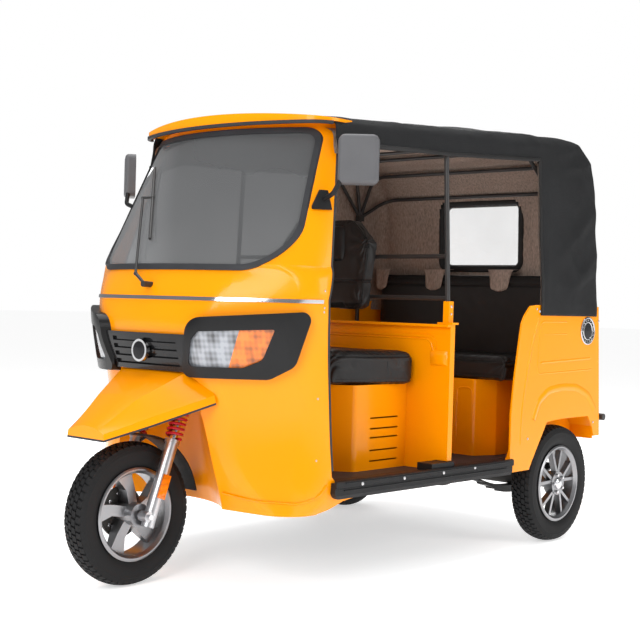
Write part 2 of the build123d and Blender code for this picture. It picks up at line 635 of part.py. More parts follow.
# Columns: y, half width at the belt, half width at the roof's shoulder, shoulder height, crown height.
HOOD = [
    (-530, 657, 506, 1716, 1752),
    (70, 657, 584, 1752, 1802),
    (700, 657, 616, 1796, 1848),
    (1300, 657, 620, 1816, 1872),
]
HOOD_BASE = 1012
HOOD_STRAIGHT = 1062
HOOD_SHOULDER_R = 46
HOOD_BACK_TOP = (1200, 1712)   # where the hood's back turns into its roof
HOOD_CREST = (1050, 1930)


def hood_side_outline(inset):
    """The hood seen from the side, its back moved inwards by inset."""
    low, high = 880, HOOD_STRAIGHT
    out = SEAT_GAP + HOOD_T - inset
    back = [(rear_y(low) + out, low), (rear_y(high) + out, high),
            (HOOD_BACK_TOP[0] - inset, HOOD_BACK_TOP[1] - inset), (HOOD_CREST[0] - inset / 2, HOOD_CREST[1] - inset)]
    outline = rounded([(-600, low), *back, (-600, HOOD_CREST[1] - inset)], [1, 1, 60, 60, 200 - inset / 2, 1])
    return extrude(Plane.YZ.offset(-800) * outline, amount=1600)


def hood_section(y, belt_w, roof_w, shoulder_z, crown_z, inset, base):
    """One section of the hood across the vehicle: upright, then leaning in to a crowned roof."""
    right = [(belt_w - inset, base), (belt_w - inset, HOOD_STRAIGHT), (roof_w - inset, shoulder_z - inset)]
    left = [(-x, z) for x, z in right]
    edges = [
        Line(left[0], right[0]),
        Line(right[0], right[1]),
        Line(right[1], right[2]),
        ThreePointArc(right[2], (0, crown_z - inset), left[2]),
        Line(left[2], left[1]),
        Line(left[1], left[0]),
    ]
    return Plane.XZ.offset(-y) * make_face(edges)


def hood_solid(inset, base):
    rows = [(y - inset * (y < 0), *rest) for y, *rest in HOOD]
    return loft([hood_section(*row, inset, base) for row in rows], ruled=True)


hood_out = hood_solid(0, HOOD_BASE) & hood_side_outline(0)
hood_in = hood_solid(HOOD_T, HOOD_BASE - 40) & hood_side_outline(HOOD_T)
hood_side_cut = side_prism([(-700, 900), (-700, 1640), (-505, 1588), (-440, 1592), (-330, 1636), (100, 1648),
                            (HOOD_EDGE_Y, 1690), (HOOD_EDGE_Y, 900)], -800, 800)
WINDOW_HALF_W = 222
WINDOW_BASE = 1246
WINDOW_TOP = 1548
WINDOW_R = 40
window_outline = rounded([(-WINDOW_HALF_W, WINDOW_BASE), (WINDOW_HALF_W, WINDOW_BASE),
                          (WINDOW_HALF_W, WINDOW_TOP), (-WINDOW_HALF_W, WINDOW_TOP)], WINDOW_R)
hood = hood_out - hood_in - hood_side_cut
window_tool = front_prism(window_outline, 1100, 1400)
hood = hood - window_tool
hood = hood - nose_solid(SEAT_GAP) - crowned_solid(HEADER - 40, HEADER + CAP_H + SEAT_GAP, CAP_CROWN, -SEAT_GAP, CAP_BACK)
hood = Compound([max(hood.solids(), key=lambda s: s.volume)])
save("hood", hood)
window_solid = (hood_out - hood_in) & front_prism(offset(window_outline, -SEAT_GAP), 1100, 1400)
save("rear_window", window_solid)

# Hood irons: four bows that turn down to one pivot on each side.
BOW_R = 9
BOW_PIVOT_X = 590
BOW_PIVOT = (950, 1484)
# Columns: y and height of the bow's cross bar, half width where it turns down.
BOWS = [(640, 1758, 556), (860, 1758, 556), (1010, 1696, 556), (1128, 1588, 556)]
bows = None
for bow_y, bow_z, bow_w in BOWS:
    pts = [(-BOW_PIVOT_X, *BOW_PIVOT), (-bow_w, bow_y, bow_z), (bow_w, bow_y, bow_z), (BOW_PIVOT_X, *BOW_PIVOT)]
    bow = bent_tube(pts, BOW_R, 80)
    bows = bow if bows is None else bows + bow
save("hood_bows", bows)
# A post on each side stands on the seat's wheel house and holds the bows' pivot.
HOOD_POST_X = BOW_PIVOT_X + 2
post_floor = (HOOD_POST_X, BOW_PIVOT[0], 568 + SEAT_GAP)
post_pivot = (HOOD_POST_X, BOW_PIVOT[0], BOW_PIVOT[1] - 14)
pivot_block = Pos(BOW_PIVOT_X, *BOW_PIVOT) * Box(22, 40, 34)
hood_posts = both_sides(rod(post_floor, post_pivot, 11) + pivot_block)
hood_posts = hood_posts - bows
save("hood_posts", hood_posts)

# ---------------------------------------------------------------- rear fittings
BUMPER_R = 16
BUMPER_Z = 540
BUMPER_Y = TAIL_Y - BUMPER_R - 5
BUMPER_HALF_W = 660
bumper = rod((-BUMPER_HALF_W, BUMPER_Y, BUMPER_Z), (BUMPER_HALF_W, BUMPER_Y, BUMPER_Z), BUMPER_R)
BUMPER_CLAMP_W = 40
for x in (-RAIL_X, RAIL_X):
    x0, x1 = x - BUMPER_CLAMP_W / 2, x + BUMPER_CLAMP_W / 2
    bumper = bumper + block(x0, x1, rear_y(BUMPER_Z - 12) + SEAT_GAP, BUMPER_Y, BUMPER_Z - 12, BUMPER_Z + 12)
    bumper = bumper + rod((x0, BUMPER_Y, BUMPER_Z), (x1, BUMPER_Y, BUMPER_Z), BUMPER_R + 5)
save("rear_bumper", bumper)

LAMP_X = 560
tail_lamp = rear_layer(LAMP_X - 38, LAMP_X + 38, 700, 880, SEAT_GAP, 30)
tail_lamp = fillet(tail_lamp.edges().filter_by(Axis.Y), 14)
save("tail_lamps", both_sides(tail_lamp))

# ---------------------------------------------------------------- chassis
rail = block(RAIL_X - RAIL_W / 2, RAIL_X + RAIL_W / 2, WELL_BACK_Y + 30, BODY_END_Y - 60, RAIL_BASE, RAIL_TOP)
chassis = both_sides(rail)
CROSS_MEMBERS = [-640, -100, 420, 1150]
for y in CROSS_MEMBERS:
    chassis = chassis + block(-RAIL_X - 10, RAIL_X + 10, y, y + 40, RAIL_BASE + 6, RAIL_TOP - 2)
neck_low = fork_point(0, STEM_LEAD, HEAD_UP + 40)
head_axis = Plane(origin=fork_point(0, STEM_LEAD, HEAD_UP), z_dir=(0, sin(radians(CASTER)), cos(radians(CASTER))))
save("chassis_rails", chassis)
head_tube = head_axis * (Cylinder(HEAD_R, HEAD_LEN, align=(Align.CENTER, Align.CENTER, Align.MIN))
                         - Cylinder(STEM_R + SEAT_GAP, HEAD_LEN, align=(Align.CENTER, Align.CENTER, Align.MIN)))
NECK_Z = 806
NECK_Y = -640
neck_path = [(0, neck_low[1] + 20, NECK_Z), (0, NECK_Y, NECK_Z), (0, NECK_Y, RAIL_BASE + 60)]
neck = bent_tube(neck_path, 22, 60)
neck = neck - (head_axis * Cylinder(STEM_R + 2, HEAD_LEN * 3))
head_tube = head_tube + neck
head_tube = head_tube - block(-100, 100, -720, -560, 200, FLOOR_TOP + SEAT_GAP)
save("head_tube", head_tube)

AXLE_Z = TYRE_R
AXLE_TUBE_R = 30
HUB_INNER_X = TRACK / 2 - 58
rear_axle = rod((-HUB_INNER_X + SEAT_GAP, REAR_AXLE_Y, AXLE_Z), (HUB_INNER_X - SEAT_GAP, REAR_AXLE_Y, AXLE_Z), AXLE_TUBE_R)
rear_axle = rear_axle + Pos(0, REAR_AXLE_Y, AXLE_Z) * Sphere(88)
rear_axle = rear_axle + rod((0, REAR_AXLE_Y - 150, AXLE_Z), (0, REAR_AXLE_Y, AXLE_Z), 42)
save("rear_axle", rear_axle)

SPRING_X = 400
SPRING_HALF_L = 330
LEAVES = [(1.0, 0), (0.78, 1), (0.56, 2), (0.34, 3)]
LEAF_T = 8
LEAF_W = 50
SPRING_SAG = 62
spring = None
for share, layer in LEAVES:
    half = SPRING_HALF_L * share
    rise = SPRING_SAG * share ** 2
    base = AXLE_Z - AXLE_TUBE_R - LEAF_T * (layer + 1) - SEAT_GAP
    arc = ThreePointArc((-half, rise), (0, 0), (half, rise))
    arc_top = ThreePointArc((half, rise + LEAF_T), (0, LEAF_T), (-half, rise + LEAF_T))
    leaf = make_face([arc, Line((half, rise), (half, rise + LEAF_T)), arc_top,
                      Line((-half, rise + LEAF_T), (-half, rise))])
    leaf = extrude(Plane.YZ.offset(SPRING_X - LEAF_W / 2) * Pos(REAR_AXLE_Y, base) * leaf, amount=LEAF_W)
    spring = leaf if spring is None else spring + leaf
for y in (REAR_AXLE_Y - SPRING_HALF_L + 12, REAR_AXLE_Y + SPRING_HALF_L - 12):
    eye_z = AXLE_Z - AXLE_TUBE_R + SPRING_SAG - 4
    spring = spring + rod((SPRING_X - 30, y, eye_z), (SPRING_X + 30, y, eye_z), 15)
    spring = spring + block(SPRING_X - 34, SPRING_X - 26, y - 20, y + 20, eye_z - 15, RAIL_TOP - 30)
    spring = spring + block(RAIL_X + RAIL_W / 2 + SEAT_GAP, SPRING_X - 26, y - 20, y + 20, RAIL_TOP - 60, RAIL_TOP - 30)
save("leaf_springs", both_sides(spring))

engine = block(-190, 190, -240, 30, FLOOR_TOP + SEAT_GAP, 690)
save("engine", engine)

# ---------------------------------------------------------------- cab fittings
DASH_BASE = 1134               # above the sweep of the grips
DASH_TOP = 1160
dash = nose_solid(-WALL - SEAT_GAP, NOSE_BACK + 20) & block(-700, 700, -1000, -806, DASH_BASE, DASH_TOP)
seal_room = skin(0, -WALL - 4 - SEAT_GAP) & front_prism(screen_outline(SEAL_W / 2), NOSE_FRONT_Y, SCREEN_BACK_Y)
save("dashboard", dash - seal_room)

MIRROR_TOE = 38                # the heads turn in to the driver
mirror_head = fillet(Box(148, 45, 180).edges().filter_by(Axis.Y), 26)
mirror_head = fillet(mirror_head.faces().sort_by(Axis.Y)[0].edges(), 16)
mirror_head = Pos(632, -548, 1556) * (Rot(0, 0, MIRROR_TOE) * mirror_head)
ARM_PLATE_T = 12               # the arm's foot lies on the cowl's pillar
ARM_FOOT = (518, -602, 1412)
ARM_KNEE = (572, -612, 1432)
ARM_HEAD = (592, -588, 1492)
arm_plate = skin(ARM_PLATE_T, SEAT_GAP) & block(506, 640, -652, -584, 1376, 1448)
arm_tube = bent_tube([ARM_FOOT, ARM_KNEE, ARM_HEAD], 9, 20) - nose_solid(SEAT_GAP) - mirror_head
mirror_arm = arm_plate + max(arm_tube.solids(), key=lambda s: s.volume)
save("mirror_heads", both_sides(mirror_head))
save("mirror_arms", both_sides(mirror_arm))

# Wiper: spindle below the glass, arm and blade standing just off it.
WIPER_SEAT = (-5, -940, 1090)
wiper_foot = (-5, -984, 1092)
wiper_knee = (-72, -972, 1130)
wiper_tip = (-248, -797, 1430)
blade_low = (-80, -900, 1262)
blade_top = (-286, -708, 1558)
blade_grip = (-197, -791, 1430)
wiper_boss = (wiper_foot[0], wiper_foot[1] - 10, wiper_foot[2])
wiper = (rod(WIPER_SEAT, wiper_boss, 11) - nose_solid(SEAT_GAP)) + rod(wiper_foot, wiper_knee, 6)
wiper = wiper + rod(wiper_knee, wiper_tip, 5) + rod(wiper_tip, blade_grip, 5) + rod(blade_low, blade_top, 6)
wiper = wiper + Pos(*wiper_knee) * Sphere(8)
wiper = wiper + Pos(*wiper_tip) * Sphere(7) + Pos(*blade_grip) * Sphere(8)
wiper = Compound([max(wiper.solids(), key=lambda s: s.volume)])
save("wiper", wiper)

# Rubber edging on the cowl's door edge.
EDGE_T = 7
trim_band = (door_cut - Pos(0, EDGE_T, 0) * door_cut) & block(-700, 700, -700, -440, 440, HEADER)
edge_trim = skin(2, -WALL - 2) & trim_band
save("door_edge_trim", edge_trim)

# Rubber strip under the beak's edge.
STRIP_T = 7


def beak_slice(drop, thick):
    """The layer just under the beak's lower edge."""
    y = [row[0] for row in BEAK]
    z = [row[1] - drop for row in BEAK]
    low = [(b, c - thick) for b, c in zip(y, z)]
    return side_prism([*zip(y, z), *reversed(low)], -300, 300)


beak_low = loft([Plane.XZ.offset(-y) * make_face(Polyline((-w - 1, zb - 20), (w + 1, zb - 20), (w + 1, zb + 5),
                                                         (-w - 1, zb + 5), close=True))
                 for y, zb, w, *rest in BEAK], ruled=True)
beak_low_in = loft([Plane.XZ.offset(-(y + 8 * (y == BEAK_TIP_Y))) * make_face(Polyline(
    (-w + 8, zb - 30), (w - 8, zb - 30), (w - 8, zb + 15), (-w + 8, zb + 15), close=True))
    for y, zb, w, *rest in BEAK], ruled=True)
beak_strip = (beak_low - beak_low_in) & beak_slice(SEAT_GAP, STRIP_T)
beak_strip = beak_strip - nose_solid(SEAT_GAP)
beak_strip = Compound([max(beak_strip.solids(), key=lambda s: s.volume)])
save("beak_edge_strip", beak_strip)

# ---------------------------------------------------------------- steering
def fork_rod(x, lead, low, high, radius):
    return rod(fork_point(x, lead, low), fork_point(x, lead, high), radius)


LEG_LEAD = -AXLE_LEAD
leg = fork_rod(FORK_SPREAD, LEG_LEAD, -34, LEG_TOP, LEG_R)
COLLAR_H = 14                  # spring seat round each leg's top
COLLAR_R = LEG_R + 4
leg = leg + fork_rod(FORK_SPREAD, LEG_LEAD, LEG_TOP - COLLAR_H, LEG_TOP, COLLAR_R)
AXLE_R = 10
axle_boss = rod((FORK_SPREAD - 20, FRONT_AXLE_Y, TYRE_R), (FORK_SPREAD + 20, FRONT_AXLE_Y, TYRE_R), 19)
leg = leg + axle_boss - rod((0, FRONT_AXLE_Y, TYRE_R), (200, FRONT_AXLE_Y, TYRE_R), AXLE_R)
save("fork_legs", both_sides(leg))

slider = fork_rod(FORK_SPREAD, LEG_LEAD, LEG_TOP + SEAT_GAP, CROWN_UP, 15)
save("fork_sliders", both_sides(slider))
COIL_R = 28
COIL_WIRE_R = 5
COILS = 7
coil_low = LEG_TOP + SEAT_GAP + COIL_WIRE_R
coil_len = CROWN_UP - SEAT_GAP - 2 * COIL_WIRE_R - LEG_TOP - SEAT_GAP
coil_place = Plane(origin=fork_point(FORK_SPREAD, LEG_LEAD, coil_low), x_dir=(1, 0, 0),
                   z_dir=(0, sin(radians(CASTER)), cos(radians(CASTER))))
helix = coil_place * Helix(pitch=coil_len / COILS, height=coil_len, radius=COIL_R)
coil = sweep(Plane(origin=helix @ 0, z_dir=helix % 0) * Circle(COIL_WIRE_R), path=helix, is_frenet=True)
save("fork_springs", both_sides(coil))

yoke = Plane(origin=fork_point(0, 0, CROWN_UP), x_dir=(1, 0, 0), z_dir=(0, sin(radians(CASTER)), cos(radians(CASTER))))


def yoke_plate(thick, reach):
    """A yoke across the legs and the stem; y on its plane runs back from the axle."""
    outline = rounded([(-reach, -4), (reach, -4), (reach, 46), (40, 84), (-40, 84), (-reach, 46)],
                      [18, 18, 20, 16, 16, 20])
    return extrude(outline, amount=thick, dir=(0, 0, 1))


lower_yoke = yoke * yoke_plate(CROWN_T, FORK_SPREAD + 26)
stem = fork_rod(0, STEM_LEAD, CROWN_UP + CROWN_T, BAR_UP - 20, STEM_R)
stem = stem + fork_rod(0, STEM_LEAD, BAR_UP - 40, BAR_UP + 14, 24)
save("steering_stem", lower_yoke + stem)

BAR_HALF_W = 330
BAR_SETBACK = 40               # the bar is clamped this far behind the stem
bar_points = [(-BAR_HALF_W, 0, 26), (-190, 26, 44), (-80, 0, 0), (80, 0, 0), (190, 26, 44), (BAR_HALF_W, 0, 26)]
bar_points = [(x, STEM_LEAD + lead - BAR_SETBACK, BAR_UP + 26 + up) for x, lead, up in bar_points]
handlebar = bent_tube([fork_point(*p) for p in bar_points], 11, 30)
clamp_place = Plane(origin=fork_point(0, STEM_LEAD - BAR_SETBACK / 2, BAR_UP + 14 + SEAT_GAP), x_dir=(1, 0, 0),
                    z_dir=(0, sin(radians(CASTER)), cos(radians(CASTER))))
handlebar = handlebar + clamp_place * Box(44, BAR_SETBACK + 40, 26, align=(Align.CENTER, Align.CENTER, Align.MIN))
save("handlebar", handlebar)
grip_ends = (bar_points[4], bar_points[5])
grip_a, grip_b = (Vector(*fork_point(*p)) for p in grip_ends)
along = (grip_b - grip_a).normalized()
grip = rod(tuple(grip_b - along * 118), tuple(grip_b + along * 4), 17) - rod(tuple(grip_b - along * 140), tuple(grip_b), 11)
save("grips", both_sides(grip))

axle = rod((-FORK_SPREAD - 32, FRONT_AXLE_Y, TYRE_R), (FORK_SPREAD + 32, FRONT_AXLE_Y, TYRE_R), AXLE_R - SEAT_GAP)
save("front_axle", axle)

# Splash guard that hugs the back of the front tyre, on a bracket to each leg.
GUARD_R = TYRE_R + 26
GUARD_T = 4
GUARD_FROM = 12
GUARD_TO = 92
guard_ring = Cylinder(GUARD_R + GUARD_T, TYRE_W * 2) - Cylinder(GUARD_R, TYRE_W * 2)
guard_ring = Pos(0, FRONT_AXLE_Y, TYRE_R) * (Rot(0, 90, 0) * guard_ring)
GUARD_HALF_W = 58
guard_cut = [(FRONT_AXLE_Y, TYRE_R)] + [
    (FRONT_AXLE_Y + 2 * GUARD_R * cos(radians(a)), TYRE_R + 2 * GUARD_R * sin(radians(a)))
    for a in (GUARD_FROM, (GUARD_FROM + GUARD_TO) / 2, GUARD_TO)]
guard = guard_ring & side_prism(guard_cut, -GUARD_HALF_W, GUARD_HALF_W)
stay_low = fork_point(FORK_SPREAD - LEG_R + 2, LEG_LEAD, GUARD_R - 14)
stay_high = fork_point(GUARD_HALF_W - 8, LEG_LEAD, GUARD_R + 2)
guard = guard + both_sides(rod(stay_high, stay_low, 5))
guard = guard - both_sides(fork_rod(FORK_SPREAD, LEG_LEAD, 0, 400, LEG_R + SEAT_GAP))
guard = guard - both_sides(fork_rod(FORK_SPREAD, LEG_LEAD, LEG_TOP - COLLAR_H - SEAT_GAP, 400, COLLAR_R + SEAT_GAP))
save("splash_guard", guard)

REFLECT_W = 34
REFLECT_H = 88
refl = Box(6, REFLECT_W, REFLECT_H)
refl = Pos(FORK_SPREAD + LEG_R + 3 + SEAT_GAP, *fork_point(0, LEG_LEAD, 118)[1:]) * (Rot(-CASTER, 0, 0) * refl)
save("fork_reflectors", both_sides(refl))

# ---------------------------------------------------------------- wheels
HUB_R = 42
HUB_W = 2 * (FORK_SPREAD - LEG_R - 7)


def wheel_at(piece, x, y):
    """A wheel piece is made round the X axis at the origin."""
    return Pos(x, y, TYRE_R) * piece


TREAD_HALF_W = 43
TREAD_EDGE_R = TYRE_R - 10


def tyre_form():
    """A tyre's section turned round the axle: a rounded tread, full walls and a bead."""
    half = TYRE_W / 2
    bead = RIM_R - 8
    points = make_face([
        Line((-34, bead), (34, bead)),
        Line((34, bead), (42, bead + 16)),
        ThreePointArc((42, bead + 16), (half, 214), (TREAD_HALF_W, TREAD_EDGE_R)),
        ThreePointArc((TREAD_HALF_W, TREAD_EDGE_R), (0, TYRE_R), (-TREAD_HALF_W, TREAD_EDGE_R)),
        ThreePointArc((-TREAD_HALF_W, TREAD_EDGE_R), (-half, 214), (-42, bead + 16)),
        Line((-42, bead + 16), (-34, bead)),
    ])
    return revolve(points, Axis.X)


def rim_form():
    half = RIM_W / 2 - 6
    barrel = make_face(Polyline((-half, RIM_R), (-half - 4, RIM_R - 6), (-half - 4, RIM_R - 12), (-36, RIM_R - 22),
                                (36, RIM_R - 22), (half + 4, RIM_R - 12), (half + 4, RIM_R - 6), (half, RIM_R),
                                (half - 6, RIM_R - 2), (half - 8, RIM_R - 10), (32.5, RIM_R - 8.5),
                                (-32.5, RIM_R - 8.5), (-half + 8, RIM_R - 10), (-half + 6, RIM_R - 2), close=True))
    return revolve(barrel, Axis.X)


tyre = tyre_form()
rim_barrel = rim_form()
rim_clear = revolve(make_face(Polyline((-34.5, RIM_R - 8), (34.5, RIM_R - 8), (34.5, 300), (-34.5, 300), close=True)), Axis.X)
tyre = tyre - rim_barrel
SPOKES_FRONT = 5
SPOKE_INNER = 34
SPOKE_OUTER = 153
SPOKE_SWEEP = 14               # each spoke's outer end is turned this far round the hub
spoke_root = Plane.XY.offset(SPOKE_INNER) * Rectangle(58, 38)
spoke_end = Rot(SPOKE_SWEEP, 0, 0) * (Plane.XY.offset(SPOKE_OUTER) * Rectangle(26, 70))
spoke_waist = Rot(SPOKE_SWEEP / 3, 0, 0) * (Plane.XY.offset(88) * Rectangle(44, 40))
spoke = loft([spoke_root, spoke_waist, spoke_end], ruled=True)
front_hub = Rot(0, 90, 0) * (Cylinder(HUB_R, HUB_W) - Cylinder(AXLE_R + SEAT_GAP, HUB_W + 10))
front_rim = rim_barrel + front_hub
for i in range(SPOKES_FRONT):
    front_rim = front_rim + Rot(360 / SPOKES_FRONT * i, 0, 0) * (spoke - rim_clear)
front_rim = front_rim - Rot(0, 90, 0) * Cylinder(AXLE_R + SEAT_GAP, HUB_W + 10)
save("front_rim", wheel_at(front_rim, 0, FRONT_AXLE_Y))
save("front_tyre", wheel_at(tyre, 0, FRONT_AXLE_Y))
SPOKES_REAR = 5
SPLIT_INNER = 4                # a pair of rear spokes spreads from this angle to the next
SPLIT_OUTER = 15


def split_spoke(side):
    """One arm of a rear spoke pair, leaning away from its twin."""
    root = Rot(side * SPLIT_INNER, 0, 0) * (Pos(28, 0, 44) * Rectangle(24, 15))
    end = Rot(side * SPLIT_OUTER, 0, 0) * (Pos(22, 0, SPOKE_OUTER) * Rectangle(28, 13))
    return loft([root, end], ruled=True)


rear_spoke = split_spoke(1) + split_spoke(-1)
rear_hub = Pos(22, 0, 0) * (Rot(0, 90, 0) * Cylinder(52, 44))
rear_rim = rim_barrel + rear_hub
for i in range(SPOKES_REAR):
    rear_rim = rear_rim + Rot(360 / SPOKES_REAR * i, 0, 0) * (rear_spoke - rim_clear)
rear_rim = rear_rim + Rot(0, 90, 0) * (Pos(0, 0, -20) * Cylinder(26, 76))
for side, name in ((1, "left"), (-1, "right")):
    rim_placed = wheel_at(rear_rim, TRACK / 2, REAR_AXLE_Y)
    tyre_placed = wheel_at(tyre, TRACK / 2, REAR_AXLE_Y)
    if side < 0:
        rim_placed = mirror(rim_placed, about=Plane.YZ)
        tyre_placed = mirror(tyre_placed, about=Plane.YZ)
    save(f"rear_rim_{name}", rim_placed)
    save(f"rear_tyre_{name}", tyre_placed)
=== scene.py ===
import math

import bmesh
import bpy
from mathutils import Matrix, Vector, noise


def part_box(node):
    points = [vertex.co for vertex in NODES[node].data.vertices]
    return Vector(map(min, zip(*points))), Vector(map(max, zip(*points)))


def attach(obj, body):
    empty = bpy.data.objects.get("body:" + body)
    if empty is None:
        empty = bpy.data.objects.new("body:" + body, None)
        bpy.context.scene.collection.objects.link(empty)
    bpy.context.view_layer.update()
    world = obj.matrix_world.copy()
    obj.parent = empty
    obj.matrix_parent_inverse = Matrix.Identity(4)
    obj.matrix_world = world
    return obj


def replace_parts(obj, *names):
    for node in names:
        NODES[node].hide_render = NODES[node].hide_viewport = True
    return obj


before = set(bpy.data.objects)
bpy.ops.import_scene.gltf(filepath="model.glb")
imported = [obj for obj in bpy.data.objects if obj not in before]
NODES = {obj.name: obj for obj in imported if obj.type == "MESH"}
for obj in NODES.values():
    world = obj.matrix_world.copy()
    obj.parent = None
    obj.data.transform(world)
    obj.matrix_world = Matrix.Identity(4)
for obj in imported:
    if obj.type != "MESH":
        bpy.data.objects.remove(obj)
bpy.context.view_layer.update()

bl_info = {
    "name": "Auto rickshaw dresser",
    "version": (1, 0, 0),
    "blender": (4, 5, 0),
    "location": "3D View > Sidebar > Rickshaw",
    "description": "Paint, hood cloth, vinyl seats, tyres and trim for a three-wheeled auto rickshaw",
    "category": "Object",
}


# ---------------------------------------------------------------- shader maths
class Wire:
    """One output of a shader node; arithmetic on it adds Math nodes to the same finish."""

    def __init__(self, finish, socket):
        self.finish = finish
        self.socket = socket

    def math(self, operation, *values):
        return self.finish.node("ShaderNodeMath", {"operation": operation}, dict(enumerate(values)))

    def __add__(self, other):
        return self.math("ADD", self, other)

    def __sub__(self, other):
        return self.math("SUBTRACT", self, other)

    def __rsub__(self, other):
        return self.math("SUBTRACT", other, self)

    def __mul__(self, other):
        return self.math("MULTIPLY", self, other)

    def __truediv__(self, other):
        return self.math("DIVIDE", self, other)

    def __rtruediv__(self, other):
        return self.math("DIVIDE", other, self)

    __radd__ = __add__
    __rmul__ = __mul__

    def wave(self):
        return self.math("SINE", self)

    def size(self):
        return self.math("ABSOLUTE", self)

    def clamp(self):
        return self.finish.node("ShaderNodeClamp", {}, {"Value": self})


class Finish:
    """A named surface finish that is built node by node on a Principled shader."""

    def __init__(self, name):
        self.material = bpy.data.materials.new(name)
        self.material.use_nodes = True
        self.tree = self.material.node_tree
        self.shader = self.tree.nodes["Principled BSDF"]

    def node(self, kind, settings, sockets, output=0):
        """Adds a node: its settings first, then the values or wires of its sockets."""
        made = self.tree.nodes.new(kind)
        for name, value in settings.items():
            setattr(made, name, value)
        for name, value in sockets.items():
            self.feed(made.inputs[name], value)
        return Wire(self, made.outputs[output])

    def feed(self, socket, value):
        """Links a wire to a socket, or sets the socket's own value."""
        if isinstance(value, Wire):
            self.tree.links.new(value.socket, socket)
        elif socket.type == "RGBA" and len(value) == 3:
            socket.default_value = (*value, 1)
        else:
            socket.default_value = value

    def place(self, scale=(1, 1, 1)):
        """The object's own coordinates in metres, stretched by scale."""
        where = self.node("ShaderNodeTexCoord", {}, {}, "Object")
        return self.node("ShaderNodeVectorMath", {"operation": "MULTIPLY"}, {0: where, 1: scale})

    def axis(self, letter):
        """One coordinate of the surface, in metres."""
        where = self.node("ShaderNodeTexCoord", {}, {}, "Object")
        return self.node("ShaderNodeSeparateXYZ", {}, {"Vector": where}, letter)

    def noise(self, scale, detail=2, stretch=(1, 1, 1), rough=0.5):
        """Cloudy noise from 0 to 1; scale is in lumps to the metre."""
        return self.node("ShaderNodeTexNoise", {"noise_dimensions": "3D"}, {
            "Vector": self.place(stretch), "Scale": scale, "Detail": detail, "Roughness": rough})

    def cells(self, scale, feature="F1", stretch=(1, 1, 1)):
        """Distance to the middle of the nearest cell; scale is in cells to the metre."""
        return self.node("ShaderNodeTexVoronoi", {"feature": feature}, {
            "Vector": self.place(stretch), "Scale": scale}, "Distance")

    def blend(self, share, first, second):
        """A colour between two colours."""
        return self.node("ShaderNodeMix", {"data_type": "RGBA"}, {0: share, 6: first, 7: second}, 2)

    def range(self, value, low, high):
        """A wire from 0 to 1 made into one from low to high."""
        return value * (high - low) + low

    def relief(self, height, depth):
        """A bump from a height wire; depth is in metres."""
        return self.node("ShaderNodeBump", {}, {
            "Height": height, "Distance": depth, "Strength": 1.0}, "Normal")

    def thread(self, letter, pitch):
        """Waves along one axis, pitch radians to the metre."""
        return (self.axis(letter) * pitch).wave()

    def surface(self, **sockets):
        """Feeds the shader; names are its sockets with _ for a space."""
        for name, value in sockets.items():
            self.feed(self.shader.inputs[name.replace("_", " ")], value)
        return self.material


def shade(colour, factor, lift=0.0):
    """A colour made darker or paler, with a little grey added."""
    return tuple(c * factor + lift for c in colour)


# ---------------------------------------------------------------- sizes and colours
class RickshawColours(bpy.types.PropertyGroup):
    """Colours of the finishes, linear."""

    body: bpy.props.FloatVectorProperty(
        name="Body paint", description="Gloss enamel of the pressed panels", subtype="COLOR",
        size=3, default=(1.0, 0.32, 0.0))
    hood: bpy.props.FloatVectorProperty(
        name="Hood cloth", description="Coated cloth outside", subtype="COLOR",
        size=3, default=(0.007, 0.0073, 0.008))
    lining: bpy.props.FloatVectorProperty(
        name="Hood lining", description="Woven lining inside the hood", subtype="COLOR",
        size=3, default=(0.26, 0.2, 0.165))
    vinyl: bpy.props.FloatVectorProperty(
        name="Seat vinyl", description="Grained seat covering", subtype="COLOR",
        size=3, default=(0.008, 0.0075, 0.0075))
    plastic: bpy.props.FloatVectorProperty(
        name="Moulded plastic", description="Lamp bezels, steps and mirrors", subtype="COLOR",
        size=3, default=(0.0055, 0.0058, 0.0065))
    tyre: bpy.props.FloatVectorProperty(
        name="Tyre rubber", description="Tread and walls", subtype="COLOR",
        size=3, default=(0.010, 0.010, 0.0105))


class RickshawStage(bpy.types.PropertyGroup):
    """The camera."""

    camera_place: bpy.props.FloatVectorProperty(
        name="Camera", description="Where the camera stands", subtype="TRANSLATION", unit="LENGTH",
        size=3, default=(3.382, -3.863, 1.043))
    camera_turn: bpy.props.FloatProperty(
        name="Turn", description="Heading of the view, from straight at the nose to the vehicle's left",
        subtype="ANGLE", default=math.radians(41.3))
    camera_dip: bpy.props.FloatProperty(
        name="Dip", description="How far the view points below level", subtype="ANGLE",
        default=math.radians(0.85))
    camera_roll: bpy.props.FloatProperty(
        name="Roll", description="Lean of the view", subtype="ANGLE", default=math.radians(1.61))
    lens: bpy.props.FloatProperty(
        name="Lens", description="Focal length for a 36 mm sensor", default=67.67)


# ---------------------------------------------------------------- finishes
def enamel(name, colour, gloss=0.22):
    """Gloss enamel: faint orange peel, a clear coat and slight clouding of the colour."""
    f = Finish(name)
    cloud = f.noise(2.5, 3)
    f.shader.inputs["Specular IOR Level"].default_value = 0.2
    f.shader.inputs["Coat Roughness"].default_value = 0.06
    return f.surface(
        Base_Color=f.blend(cloud, shade(colour, 0.93), colour),
        Roughness=f.range(f.noise(60, 3), gloss - 0.05, gloss + 0.06),
        Coat_Weight=f.range(f.noise(4, 2), 0.1, 0.2),
        Normal=f.relief(f.noise(190, 1), 0.00012),
    )


def moulded(name, colour, rough=0.5, grain=0.00025):
    """Moulded plastic: fine leather-like grain and a dusty variation of its sheen."""
    f = Finish(name)
    dust = f.noise(9, 4)
    f.shader.inputs["Specular IOR Level"].default_value = 0.28
    return f.surface(
        Base_Color=f.blend(dust, colour, shade(colour, 1.35, 0.003)),
        Roughness=f.range(f.noise(25, 4), rough - 0.08, rough + 0.1),
        Normal=f.relief(f.cells(900, "F1"), grain),
    )


